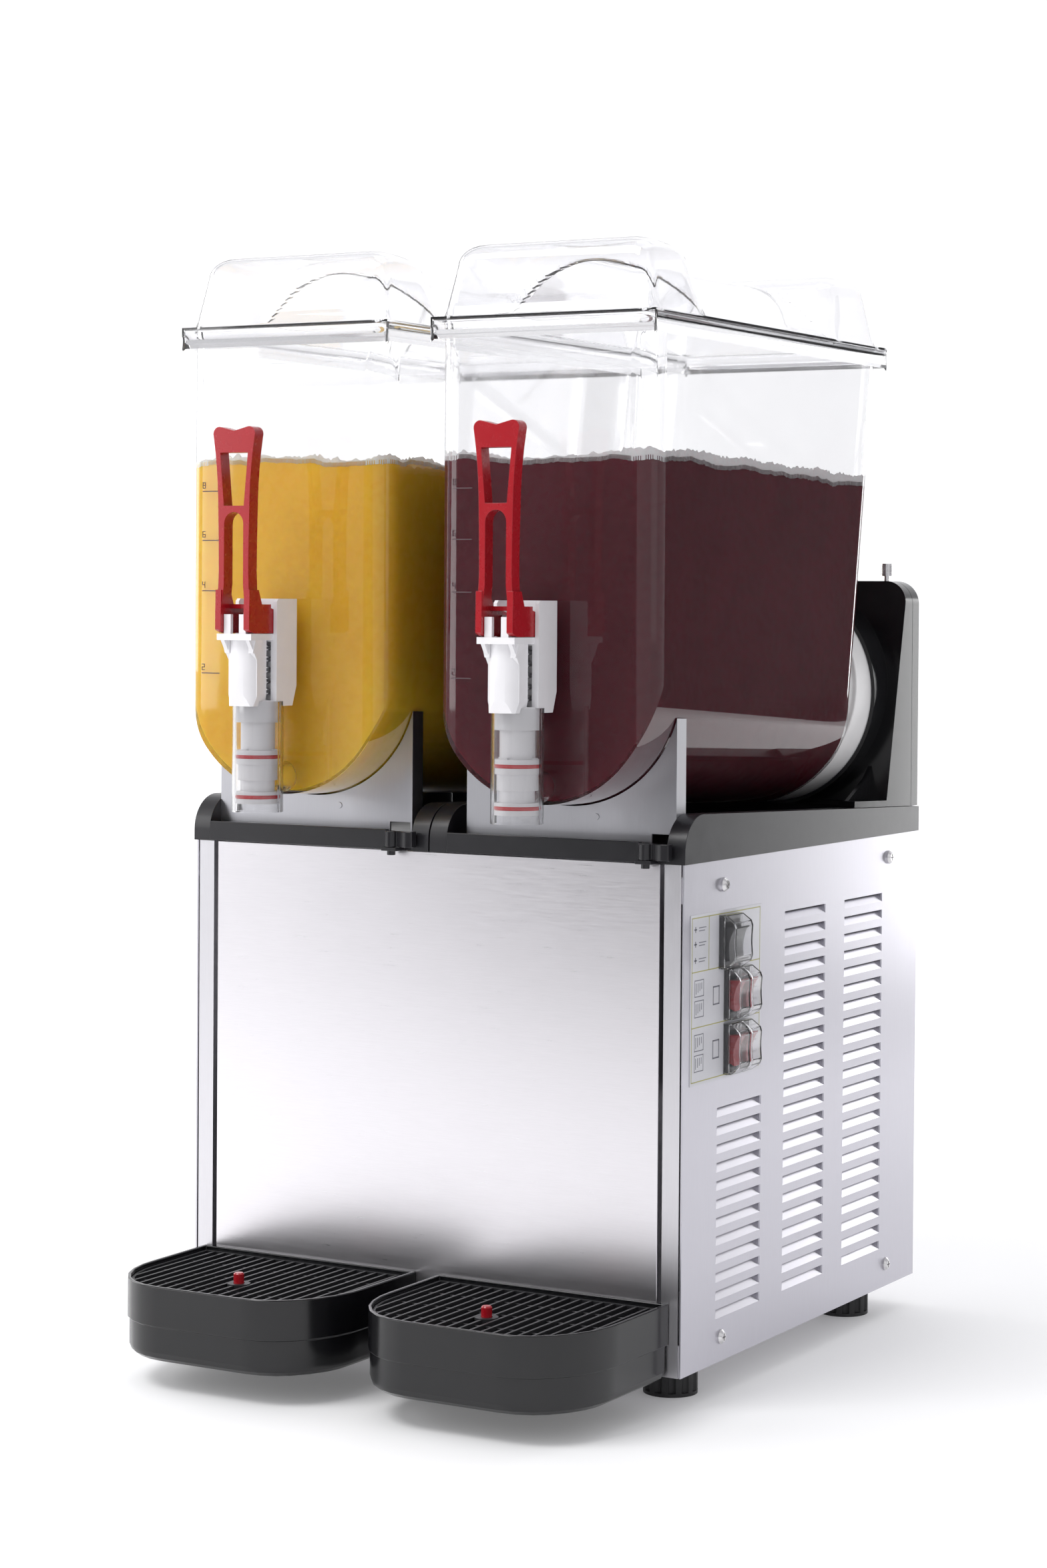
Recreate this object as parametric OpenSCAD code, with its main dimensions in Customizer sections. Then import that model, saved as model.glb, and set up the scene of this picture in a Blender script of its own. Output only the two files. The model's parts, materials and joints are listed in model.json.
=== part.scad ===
// Twin-bowl slushie machine: a steel case with two clear tanks, each with a chilled
// drum, a turning auger and a sprung pull tap over a drip tray.
// Millimetres, +Z up, -Y towards the customer, origin at the middle of the underside box.

/* [Case] */
// Width of the steel case
case_w = 400; // [392:2:420]
// Depth of the steel case
case_d = 400; // [396:2:420]
// Height of the steel case, without its feet
case_h = 347; // [340:1:360]
// Thickness of the folded steel sheet
sheet = 1.2; // [1:0.1:1.5]
// Height of the screwed-in feet
foot_h = 24; // [20:1:30]

/* [Louvres] */
// Rows of louvres in a full column
louvre_rows = 22; // [4:1:22]
// Distance from one louvre to the next
louvre_pitch = 12.67; // [11:0.01:13]
// Length of each louvre
louvre_l = 70; // [40:1:74]
// Height of the lowest louvre's top edge above the case's underside
louvre_z = 37; // [30:1:40]

/* [Tanks] */
// Distance from the case's middle to each tank's middle
tank_x = 105; // [103:1:106]
// Outside radius of the tank's round bottom, which is half its width
tank_r = 85; // [80:1:86]
// Thickness of the tank's wall
tank_wall = 3; // [2:0.5:4]
// Height of the tank's rim above the case's underside
tank_top = 716; // [700:1:730]
// Height of the bowl's axis at the tank's front
axis_z = 470.5; // [468:0.5:474]
// Slope of the bowl's axis, down towards the back
axis_tilt = 2.6; // [2:0.1:3]
// Lean of the tank's rear wall
rear_lean = 9.1; // [7:0.1:10]

/* [Tap] */
// Outside radius of the outlet tube
tube_r = 18; // [17:0.5:19]
// Distance from the tank's front wall to the tap's axis
tap_reach = 31; // [30:0.5:34]
// Rise of the piston for each radian of the lever
cam_k = 33; // [24:1:34]
// Swing of the lever
lever_swing = 30; // [15:1:30]

/* [Drip trays] */
// Width of each drip tray
tray_w = 182; // [170:1:186]
// Reach of each drip tray in front of the case
tray_d = 138; // [120:1:150]
// Slats in each grid
slats = 19; // [9:2:19]

/* [Hidden] */
$fn = 64;

steel = [0.80, 0.79, 0.82];
plate_grey = [0.62, 0.62, 0.66];
black = [0.07, 0.07, 0.08];
clear = [0.90, 0.92, 0.94, 0.35];
white = [0.93, 0.93, 0.93];
red = [0.75, 0.03, 0.06];
left = -1;
right = 1;
sides = [left, right];
half_w = case_w / 2;

// Origin: the middle of the box that holds everything, at the floor.
function boot_x(t) = 12.6 + 1.4 * t * t - 2 * pow(abs(t), 8);
boot_out = max([for (i = [0:8]) boot_x(-1 + i / 4)]);
screw_out = 3;
rear_out = 3;
mid_x = (boot_out - screw_out) / 2;
mid_y = (case_d + rear_out - tray_d) / 2;

// Places a sub-part given in the case's frame: x from the middle, y from the front face,
// z from the case's underside.
module place() translate([-mid_x, -mid_y, foot_h]) children();

// A box from its low corner to its high corner.
module box(a, b) translate(a) cube(b - a);

// A cylinder along y, from y0 to y1.
module rod_y(x, z, r, y0, y1) translate([x, y0, z]) rotate([-90, 0, 0]) cylinder(r = r, h = y1 - y0);

// A cylinder along x, from x0 to x1.
module rod_x(y, z, r, x0, x1) translate([x0, y, z]) rotate([0, 90, 0]) cylinder(r = r, h = x1 - x0);

// A cylinder along z, from z0 to z1.
module rod_z(x, y, r, z0, z1) translate([x, y, z0]) cylinder(r = r, h = z1 - z0);

// An outline in y and z, extruded along x from x0 to x1.
module slab_x(x0, x1) translate([x0, 0, 0]) rotate([90, 0, 90]) linear_extrude(x1 - x0) children();

// An outline in x and z, extruded along y from y0 to y1.
module slab_y(y0, y1) translate([0, y1, 0]) rotate([90, 0, 0]) linear_extrude(y1 - y0) children();

// Points on an ellipse's arc, from angle a0 to a1.
function arc(cx, cy, rx, ry, a0, a1, n) =
    [for (i = [0:n]) [cx + rx * cos(a0 + (a1 - a0) * i / n), cy + ry * sin(a0 + (a1 - a0) * i / n)]];

// ---------------------------------------------------------------- case
strip_in = half_w - 15;
groove = 3.5;
panel_half = strip_in - groove;
pan_h = 22;
rail_z = 329.6;
side_screw_y = [60.3, 345.1];
side_screw_z = [17.1, rail_z];
rear_screw_x = half_w - 9;
rear_screw_z = [30, 310];
screw_r = 2.5;
foot_x = half_w - 35;
foot_y = [54, case_d - 54];
stem_r = 5;
hook_x = 50;
hook_z = 31;

module base_frame() color(plate_grey) place() {
    inner = half_w - sheet - 0.3;
    difference() {
        box([-inner, 1.4, 0], [inner, case_d - sheet - 0.3, pan_h]);
        box([-inner + sheet, 1.4 + sheet, sheet], [inner - sheet, case_d - 2 * sheet - 0.3, pan_h + 1]);
        for (sx = sides, y = foot_y)
            rod_z(sx * foot_x, y, stem_r + 0.06, -1, sheet + 1);
        for (x = [-inner, inner - sheet], y = side_screw_y)
            rod_x(y, side_screw_z[0], screw_r + 0.05, x - 1, x + sheet + 1);
    }
    for (sx = sides) {
        // Nuts welded in the pan for the feet.
        for (y = foot_y)
            difference() {
                rod_z(sx * foot_x, y, 9, sheet, 12);
                rod_z(sx * foot_x, y, stem_r + 0.06, 0, 13);
            }
        // Front corner posts, whose strips show beside the front panel.
        mirror([sx < 0 ? 1 : 0, 0, 0]) {
            box([strip_in, 0, 0], [inner - 0.8, sheet, case_h - 0.2]);
            box([strip_in, 0, 0], [strip_in + sheet, 14, case_h - 0.2]);
            difference() {
                box([inner - 14, case_d - 3 * sheet, 0], [inner, case_d - 2 * sheet, case_h - 1]);
                for (z = rear_screw_z)
                    rod_y(rear_screw_x, z, screw_r + 0.05, case_d - 4 * sheet, case_d);
            }
            difference() {
                box([inner - sheet, sheet, rail_z - 9], [inner, case_d - 2 * sheet, rail_z + 9]);
                for (y = side_screw_y)
                    rod_x(y, rail_z, screw_r + 0.05, inner - 2 * sheet, inner + 1);
            }
            box([strip_in, sheet + 0.01, rail_z - 9], [inner, 2 * sheet, rail_z + 9]);
        }
    }
}

module front_panel() color(steel) place() difference() {
    union() {
        box([-panel_half, 0, 0], [panel_half, sheet, case_h - 0.2]);
        for (x = [-panel_half, panel_half - sheet])
            box([x, 0, pan_h + 1], [x + sheet, 12, case_h - 0.2]);
    }
    for (sx = sides, hx = [-hook_x, hook_x])
        box([sx * (tray_w / 2 + 9) + hx - 9.5, -1, hook_z - 3],
            [sx * (tray_w / 2 + 9) + hx + 9.5, sheet + 1, hook_z + 3]);
}

// Louvres pressed inwards, open at the top: one column's section, x outwards.
louvre_h = 6.5;
louvre_in = 4;
module louvre_section(rows) for (i = [0:rows - 1]) {
    top = louvre_z + i * louvre_pitch;
    below = i == 0 ? top - louvre_h - 1 : top - louvre_pitch;
    polygon([[0, below], [0, top - louvre_h], [-louvre_in, top], [-louvre_in - sheet, top],
        [-sheet, top - louvre_h], [-sheet, below]]);
}

module louvre_ends(rows) for (i = [0:rows - 1]) {
    top = louvre_z + i * louvre_pitch;
    polygon([[-0.4, top - louvre_h], [-louvre_in - 0.4, top], [-0.4, top]]);
}

column_y = [52, 159, 263];
function column_rows(side, column) = side == right && column == 0 ? min(12, louvre_rows) : louvre_rows;

module side_panel(side) color(steel) place() mirror([side < 0 ? 1 : 0, 0, 0]) {
    x0 = half_w - sheet;
    difference() {
        box([x0, 0, 0], [half_w, case_d, case_h - 0.2]);
        for (c = [0:2])
            box([x0 - 1, column_y[c], louvre_z - louvre_h - 1],
                [half_w + 1, column_y[c] + louvre_l, louvre_z + (column_rows(side, c) - 1) * louvre_pitch]);
        for (y = side_screw_y, z = side_screw_z)
            rod_x(y, z, screw_r + 0.05, x0 - 1, half_w + 1);
        if (side == right)
            for (s = switches)
                box([x0 - 1, s[1] - s[3] / 2 + 2.8, s[2] - s[4] / 2 + 3.8],
                    [half_w + 1, s[1] + s[3] / 2 - 2.8, s[2] + s[4] / 2 - 3.8]);
    }
    for (c = [0:2]) {
        y0 = column_y[c];
        translate([half_w, 0, 0]) slab_y(y0, y0 + louvre_l) louvre_section(column_rows(side, c));
        for (y = [y0, y0 + louvre_l - sheet])
            translate([half_w, 0, 0]) slab_y(y, y + sheet) louvre_ends(column_rows(side, c));
    }
    box([x0 - 10, 16, case_h - 0.2 - sheet], [x0, case_d - 6, case_h - 0.2]);
}

inlet_x = -120;
inlet_z = 70;
inlet_w = 28;
inlet_h = 22;
rear_screws = [for (sx = sides, z = rear_screw_z) [sx * rear_screw_x, z]];
module rear_panel() color(steel) place() difference() {
    inner = half_w - sheet - 0.3;
    box([-inner, case_d - sheet, 0], [inner, case_d, case_h - 0.4]);
    for (sx = sides, i = [0:13])
        box([sx * 90 - 55, case_d - 3, 120 + i * 14], [sx * 90 + 55, case_d + 1, 125 + i * 14]);
    box([inlet_x - inlet_w / 2 - 0.2, case_d - 3, inlet_z - inlet_h / 2 - 0.2],
        [inlet_x + inlet_w / 2 + 0.2, case_d + 1, inlet_z + inlet_h / 2 + 0.2]);
    for (s = rear_screws)
        rod_y(s[0], s[1], screw_r + 0.05, case_d - 3, case_d + 1);
}

// ---------------------------------------------------------------- deck
deck_x = 101;
deck_half = 100.5;
deck_wall = 14;
deck_front = -2;
deck_peak = 380;
deck_fall = 2.15;
latch_x = 73;
latch_y = -7;
latch_pin_r = 2.5;
function deck_top(y) = deck_peak - (y - 25) * tan(deck_fall);

module deck_wall_outline() polygon(concat([[case_d, case_h], [case_d, deck_top(case_d)]],
    arc(25, case_h + 8, 27, deck_peak - case_h - 8, 90, 180, 12), [[deck_front, case_h]]));

module deck_mouldings() color(black) place() for (side = sides) translate([side * deck_x, 0, 0]) {
    for (x = [-deck_half, deck_half - deck_wall])
        slab_x(x, x + deck_wall) deck_wall_outline();
    difference() {
        box([-deck_half, deck_front + 3, case_h], [deck_half, case_d, case_h + 3]);
        // Drain slots behind the front bar.
        for (x = [-40, 0, 40])
            box([x - 12, 30, case_h - 1], [x + 12, 34, case_h + 4]);
    }
    // Bracket and pin for the latch.
    box([latch_x - 6, latch_y - 4, case_h], [latch_x + 6, 1.2, case_h + 2.5]);
    rod_z(latch_x, latch_y, 3, case_h - 3, case_h);
    rod_z(latch_x, latch_y, latch_pin_r, case_h, case_h + 13.5);
}

bar_h = 13;
module front_bars() color(black) place() for (side = sides) translate([side * deck_x, 0, case_h]) {
    x0 = -deck_half + deck_wall + 0.3;
    x1 = latch_x - 7;
    box([x0, deck_front - 1, 0.4], [x1, deck_front + 1.6, bar_h]);
    box([x0, deck_front - 1, 3.2], [x1, 10, 4.8]);
    box([x0, 8.4, 3.2], [x1, 10, 9]);
    box([x0, deck_front - 1, bar_h], [x1, deck_front + 3.2, bar_h + 1.4]);
}

latch_z0 = case_h + 2.8;
latch_z1 = case_h + 14;
module latch(side) color(black) place() translate([side * deck_x + latch_x, latch_y, 0]) difference() {
    union() {
        rod_z(0, 0, 4.6, latch_z0, latch_z1);
        // Wavy arm: two bends along its reach.
        translate([0, 0, latch_z0]) linear_extrude(latch_z1 - latch_z0)
            polygon(concat([for (i = [0:12]) [i * 1.5, -1.9 + 1.4 * sin(i * 30)]],
                [for (i = [12:-1:0]) [i * 1.5, 1.3 + 1.4 * sin(i * 30)]]));
        box([15.5, -2.6, latch_z0], [18.6, 3.4, latch_z1]);
    }
    rod_z(0, 0, latch_pin_r + 0.06, latch_z0 - 1, latch_z1 + 1);
}

// ---------------------------------------------------------------- tower
tower_low_y = case_d - 61;
tower_top_y = case_d - 23;
tower_top = 541;
seam_y = case_d - 13;
tower_wall = 3;
corner_r = 18;
tower_screws = [for (x = [-150, 0, 150], z = [385, 520]) [x, z]];

// Full-width outline with round top corners, drawn in x and z.
module tower_front_outline(inset) {
    w = half_w - inset;
    r = corner_r - inset;
    translate([-w, 300]) square([2 * w, tower_top - inset - r - 300]);
    translate([-w + r, 300]) square([2 * (w - r), tower_top - inset - 300]);
    for (sx = sides)
        translate([sx * (w - r), tower_top - inset - r]) circle(r);
}

module tower_side_outline(inset) polygon([
    [tower_low_y + inset * 1.02, deck_top(tower_low_y) + 0.3 + inset],
    [tower_top_y + inset * 1.02, tower_top - inset],
    [seam_y, tower_top - inset], [seam_y, deck_top(seam_y) + 0.3 + inset]]);

// Stands the children at a distance s along the bowl's axis, with local +Z down the axis.
module on_axis(side, s) translate([side * tank_x, tank_front, axis_z]) rotate([-axis_tilt, 0, 0])
    translate([0, s, 0]) rotate([-90, 0, 0]) children();

tank_front = -30;
seal_s = 368;
seal_r = 84;
boss_r = 87;
drum_r = 55;
shaft_r = 6;
knob_y = case_d - 15 - tower_wall;
knob_x = 180;

module tower_housing() color(black) place() {
    difference() {
        union() {
            intersection() {
                slab_x(-half_w, half_w) tower_side_outline(0);
                slab_y(0, case_d + 10) tower_front_outline(0);
            }
            for (side = sides)
                intersection() {
                    on_axis(side, seal_s - 4) cylinder(r = boss_r, h = 60);
                    box([-half_w, 0, deck_top(case_d) + 2], [half_w, seam_y - 6, tower_top]);
                }
            // Foot plate that laps over the deck's walls.
            for (x = [[-half_w, -half_w + 13], [-14, 14], [half_w - 13, half_w]])
                slab_x(x[0], x[1]) polygon([[280, deck_top(280) + 0.3], [280, deck_top(280) + 5],
                    [tower_low_y + 2, deck_top(tower_low_y) + 5],
                    [tower_low_y + 2, deck_top(tower_low_y) + 0.3]]);
            // Gussets either side of each tank's back.
            for (side = sides, gx = [-80, 77])
                slab_x(side * tank_x + gx, side * tank_x + gx + 3)
                    polygon([[tower_low_y + 8, deck_top(tower_low_y) + 1], [tower_low_y + 8, 400],
                        [tower_low_y - 4, 390], [tower_low_y - 44, deck_top(tower_low_y - 44) + 1]]);
        }
        intersection() {
            slab_x(-half_w + tower_wall, half_w - tower_wall) tower_side_outline(tower_wall);
            slab_y(0, case_d + 10) tower_front_outline(tower_wall);
        }
        for (side = sides) {
            // Seat for the tank's gasket, then the hole for the drum's neck.
            on_axis(side, seal_s - 10) cylinder(r = seal_r + 0.3, h = 10.3);
            on_axis(side, seal_s - 10) cylinder(r = 31, h = 70);
            // Room behind the wall for the gear motor.
            on_axis(side, motor_s - 0.5) cylinder(r = 39, h = 60);
            rod_z(side * knob_x, knob_y, 2.06, tower_top - 10, tower_top + 1);
        }
        // Room under the tower for the deck.
        slab_x(-half_w - 1, half_w + 1) polygon([[tower_low_y - 70, 0], [seam_y + 1, 0],
            [seam_y + 1, deck_top(seam_y) + 0.3], [tower_low_y - 70, deck_top(tower_low_y - 70) + 0.3]]);
    }
    // Skirts down to the deck's floor, between its walls.
    for (side = sides)
        box([side * deck_x - 85.5, tower_low_y + 0.5, case_h + 3.3],
            [side * deck_x + 85.5, tower_low_y + 3.5, deck_top(tower_low_y) + 4]);
}

module tower_rear_cover() color(black) place() difference() {
    slab_y(seam_y + 0.4, case_d) intersection() {
        tower_front_outline(0);
        translate([-half_w, deck_top(seam_y) + 0.3]) square([case_w, 300]);
    }
    slab_y(seam_y - 1, case_d - tower_wall) intersection() {
        tower_front_outline(tower_wall);
        translate([-half_w + 1, deck_top(seam_y) + 0.3 + tower_wall]) square([case_w - 2, 300]);
    }
    for (side = sides, i = [0:6])
        box([side * 90 - 45, case_d - 5, 420 + i * 12], [side * 90 + 45, case_d + 1, 425 + i * 12]);
    for (s = tower_screws)
        rod_y(s[0], s[1], screw_r + 0.05, case_d - 5, case_d + 1);
}

knob_z = tower_top + 4;
module density_screw(side) color(steel) place() translate([side * knob_x, knob_y, 0]) {
    rod_z(0, 0, 2, tower_top - 8, knob_z + 0.1);
    difference() {
        rod_z(0, 0, 4.25, knob_z, knob_z + 9.5);
        // Knurling: fine grooves round the head.
        for (i = [0:23])
            rotate([0, 0, i * 15]) box([4.0, -0.2, knob_z + 1], [5, 0.2, knob_z + 8.5]);
    }
}

// ---------------------------------------------------------------- cold drum and auger
module cradle_plates() color(plate_grey) place() for (side = sides) difference() {
    half = 82.5;
    cx = side * tank_x;
    union() {
        box([cx - half, 12, case_h + 3.2], [cx + half, 13.5, 446]);
        for (x = [-half, half - 1.5])
            box([cx + x, 12, case_h + 3.2], [cx + x + 1.5, 26, 446]);
        // Head of the rivet that holds the plate to the bracket behind it.
        rod_y(cx + 21, 376, 2.2, 11.5, 12.1);
    }
    on_axis(side, 0) cylinder(r = tank_r + 0.8, h = 80);
    box([cx + 64, 11, case_h], [cx + half - 1.6, 14, case_h + 19]);
}

module evaporators() color(steel) place() for (side = sides) {
    difference() {
        on_axis(side, 34) cylinder(r = drum_r, h = seal_s - 34);
        on_axis(side, 37) cylinder(r = drum_r - 3, h = seal_s - 40);
        on_axis(side, 300) cylinder(r = 25, h = 100);
        on_axis(side, 30) cylinder(r = shaft_r + 0.08, h = 400);
    }
    // Tube that carries the drive shaft.
    difference() {
        on_axis(side, 34) cylinder(r = 10, h = 357);
        on_axis(side, 30) cylinder(r = shaft_r + 0.08, h = 400);
    }
    // Neck into the tower, open for the cooling lines.
    difference() {
        on_axis(side, seal_s - 3) cylinder(r = 30, h = 27);
        on_axis(side, seal_s - 20) cylinder(r = 25, h = 60);
    }
}

// Plane of the tank's rear wall: children on its back.
function rear_y(z) = 347 - (tank_top - z) * tan(rear_lean);
module behind_rear_wall(gap) slab_x(-case_w, case_w) polygon([
    [rear_y(300) + gap, 300], [rear_y(760) + gap, 760], [case_d + 60, 760], [case_d + 60, 300]]);

port_r = 80.5;
module tank_gaskets() color(white) place() for (side = sides) difference() {
    union() {
        intersection() {
            on_axis(side, 280) cylinder(r = seal_r, h = seal_s - 280);
            behind_rear_wall(0.4);
        }
        intersection() {
            on_axis(side, 280) cylinder(r = port_r - 0.4, h = seal_s - 280);
            behind_rear_wall(-tank_wall - 1);
        }
    }
    on_axis(side, 270) cylinder(r = drum_r + 0.3, h = 120);
}

motor_s = 394;
module gear_motors() color(plate_grey) place() for (side = sides) difference() {
    on_axis(side, motor_s) union() {
        cylinder(r = 38, h = 14);
        cylinder(r = 26, h = 30);
        translate([-34, -8, 2]) cube([12, 16, 20]);
    }
    on_axis(side, motor_s - 2) cylinder(r = shaft_r + 0.08, h = 14);
}

module drive_shaft(side) color(steel) place() on_axis(side, 10) cylinder(r = shaft_r, h = motor_s - 1);

auger_r = 79;
auger_in = 59;
auger_turns = 3.5;
auger_s0 = 30;
auger_len = 252;
blade_t = 5;
steps = 20;
function spin(side, a, r, s) = [r * cos(side * a), r * sin(side * a), s];
function blade_ring(side, i) = let (a = i * 360 / steps, s = auger_s0 + auger_len * i / (steps * auger_turns))
    [spin(side, a, auger_in, s), spin(side, a, auger_r, s), spin(side, a, auger_r, s + blade_t),
        spin(side, a, auger_in, s + blade_t)];

// A section swept through rings of points, closed at both ends, in triangles.
module sweep(rings) {
    n = len(rings);
    k = len(rings[0]);
    polyhedron([for (r = rings) each r], concat([for (j = [1:k - 2]) [0, j + 1, j]],
        [for (i = [0:n - 2], j = [0:k - 1], t = [0, 1]) let (a = i * k + j, b = i * k + (j + 1) % k)
            t == 0 ? [a, b, b + k] : [a, b + k, a + k]],
        [for (j = [1:k - 2]) [(n - 1) * k, (n - 1) * k + j, (n - 1) * k + j + 1]]));
}

module auger(side) color(white) place() {
    on_axis(side, 0) mirror([side > 0 ? 0 : 1, 0, 0])
        sweep([for (i = [0:steps * auger_turns]) blade_ring(1, i)]);
    difference() {
        union() {
            on_axis(side, 12) cylinder(r = 15, h = 20);
            // Three spokes from the hub to the start of the blade.
            for (a = [0, 120, 240])
                on_axis(side, 26) rotate([0, 0, a]) translate([0, -4, 0]) cube([auger_r - 6, 8, 6]);
            on_axis(side, 26) difference() {
                cylinder(r = auger_r - 2.5, h = 6);
                translate([0, 0, -1]) cylinder(r = auger_in + 4, h = 8);
            }
        }
        on_axis(side, 8) cylinder(r = shaft_r + 0.06, h = 30);
    }
}

// ---------------------------------------------------------------- tanks
edge_r = 18;
tube_in = 15.8;
tap_y = tank_front - tap_reach;
tube_z0 = 374.6;
tube_z1 = 452;
neck_z = 398;
neck_r = 11;

// Plan with two round corners at one end, along +y when away is true.
module round_plan(half, y_edge, r, away) {
    far = away ? -400 : 900;
    y_in = away ? y_edge - r : y_edge + r;
    translate([-half, min(far, y_in)]) square([2 * half, abs(far - y_in)]);
    translate([-half + r, min(y_edge, y_in) - 1]) square([2 * (half - r), r + 2]);
    for (sx = sides)
        translate([sx * (half - r), y_in]) circle(r);
}

// The tank's body, drawn in by a wall when inset is more than 0.
module tank_body(side, inset, z1) {
    r = tank_r - inset;
    intersection() {
        on_axis(side, inset - 10) linear_extrude(420) {
            circle(r);
            translate([-r, -340]) square([2 * r, 340]);
        }
        translate([side * tank_x, 0, 0]) intersection() {
            box([-r - 1, tank_front + inset, 300], [r + 1, case_d, z1]);
            translate([0, 0, 300]) linear_extrude(z1 - 300) intersection() {
                round_plan(r, tank_front + inset, edge_r - inset, false);
                translate([-r, tank_front + inset]) square([2 * r, 900]);
            }
            translate([0, rear_y(tank_top) - inset / cos(rear_lean), tank_top]) rotate([-rear_lean, 0, 0])
                translate([0, 0, -420]) linear_extrude(480) intersection() {
                    round_plan(r, 0, edge_r - inset, true);
                    translate([-r, -600]) square([2 * r, 600]);
                }
        }
    }
}

module tank(side) color(clear) place() {
    difference() {
        tank_body(side, 0, tank_top);
        tank_body(side, tank_wall, tank_top + 20);
        rod_y(side * tank_x, neck_z, neck_r + 0.05, tank_front - 1, tank_front + tank_wall);
        on_axis(side, 300) cylinder(r = port_r, h = 100);
    }
    // Outlet tube and neck: part of the same moulding, kept as a solid of its own.
    difference() {
        union() {
            rod_z(side * tank_x, tap_y, tube_r, tube_z0, tube_z1);
            rod_y(side * tank_x, neck_z, neck_r, tap_y, tank_front + tank_wall - 0.05);
        }
        rod_z(side * tank_x, tap_y, tube_in, tube_z0 - 1, tube_z1 + 1);
        rod_y(side * tank_x, neck_z, neck_r - 3, tap_y, tank_front + tank_wall + 1);
    }
}

// ---------------------------------------------------------------- lids
lid_half = 87.5;
lid_y0 = tank_front - 2.8;
lid_y1 = rear_y(tank_top) + 2.8;
lid_z = tank_top + 0.3;
lid_t = 2.4;
lid_base = lid_z + lid_t;

// A dome from a foot print at the rim to a smaller round top.
module dome(half, y0, y1, z1, top_half, ty0, ty1, r, inset) hull() {
    box([-half + inset, y0 + inset, lid_z - 0.1], [half - inset, y1 - inset, lid_base - (inset > 0 ? 1 : 0)]);
    for (x = [-top_half + r, top_half - r], y = [ty0 + r, ty1 - r])
        translate([x, y, z1 - r]) sphere(r = r - inset, $fn = 24);
}

// Vault between the domes: a parabola across the tank.
vault_half = 82;
vault_h = 43.5;
module vault(inset) slab_y(4, 310) polygon(concat([[vault_half - inset, lid_z - 0.1 - inset]],
    [for (i = [-12:12]) let (t = -i / 12)
        [t * (vault_half - inset), lid_base + (vault_h - inset) * (1 - t * t)]],
    [[-vault_half + inset, lid_z - 0.1 - inset]]));

module lid_domes(inset) {
    dome(82, tank_front + 2, 60, lid_base + 51, 75, tank_front + 6, 20, 15, inset);
    vault(inset);
    dome(82, 248, lid_y1 - 5, lid_base + 51, 77, 292, lid_y1 - 9, 14, inset);
}

module lid(side) color(clear) place() translate([side * tank_x, 0, 0]) {
    difference() {
        union() {
            box([-lid_half, lid_y0, lid_z], [lid_half, lid_y1, lid_base]);
            difference() {
                box([-lid_half, lid_y0, lid_z - 13], [lid_half, lid_y1, lid_z + 0.1]);
                box([-lid_half + 2, lid_y0 + 2, lid_z - 14], [lid_half - 2, lid_y1 - 2, lid_z + 1]);
            }
            lid_domes(0);
        }
        lid_domes(2.4);
    }
}

// ---------------------------------------------------------------- taps
collar_z0 = 495;
collar_z1 = 499.5;
pivot_z = collar_z1 + 8.5;
pivot_y = 9;
pivot_r = 3;
fork_in = 9.6;
fork_out = 14.3;
stem_top_r = 5.5;

// Front body in plan: round in front, open behind.
module tap_front_plan() {
    translate([-12, -19]) square([24, 11.5]);
    intersection() {
        translate([0, -12]) circle(13.4);
        translate([-12, -26]) square([24, 12]);
    }
}

module tap_housing(side) color(white) place() translate([side * tank_x, tap_y, 0]) difference() {
    union() {
        intersection() {
            translate([0, 0, 449]) linear_extrude(collar_z0 - 448.9) tap_front_plan();
            slab_y(-40, 0) polygon([[-10, 448], [10, 448], [13, 461], [13, 500], [-13, 500], [-13, 461]]);
            slab_x(-20, 20) polygon([[0, 448], [-22, 448], [-26, 461], [-26, 500], [0, 500]]);
        }
        box([-14.5, -30, collar_z0], [14.5, 0, collar_z1]);
        // Corbels under the collar's front corners.
        for (sx = sides)
            slab_x(min(sx * 9, sx * 12), max(sx * 9, sx * 12))
                polygon([[-29, collar_z0 + 0.1], [-14, 474], [-10, 474], [-10, collar_z0 + 0.1]]);
        for (sx = sides)
            slab_y(-24, -15)
                polygon([[sx * 14, collar_z0 + 0.1], [sx * 11.9, 486], [sx * 8, 486], [sx * 8, collar_z0 + 0.1]]);
        // Lugs that stop the lever from turning sideways.
        for (sx = sides)
            box([min(sx * 3.5, sx * 9.2), -29, collar_z1 - 0.1], [max(sx * 3.5, sx * 9.2), -26, 513]);
        // Back block, with a channel for the fork above the collar.
        difference() {
            slab_x(-17.5, 17.5) polygon([[-3, 449], [-3, 522], [-1, 524], [22, 524], [22, 463], [17, 449]]);
            box([-14.7, -4, collar_z1], [14.7, 18, 530]);
        }
        // Spigot in the tube's top.
        rod_z(0, 0, tube_in - 0.3, 437.5, 453);
    }
    difference() {
        rod_z(0, 0, tube_r + 0.3, 447, tube_z1 + 0.3);
        rod_z(0, 0, tube_in - 0.3, 446, 454);
    }
    rod_z(0, 0, 12.9, 436, collar_z0 - 1);
    rod_z(0, 0, stem_top_r + 0.3, 480, 530);
    // Slit on both flanks, where the spring shows.
    box([-40, -7.5, 453], [40, -3, collar_z0 - 0.5]);
}

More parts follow.
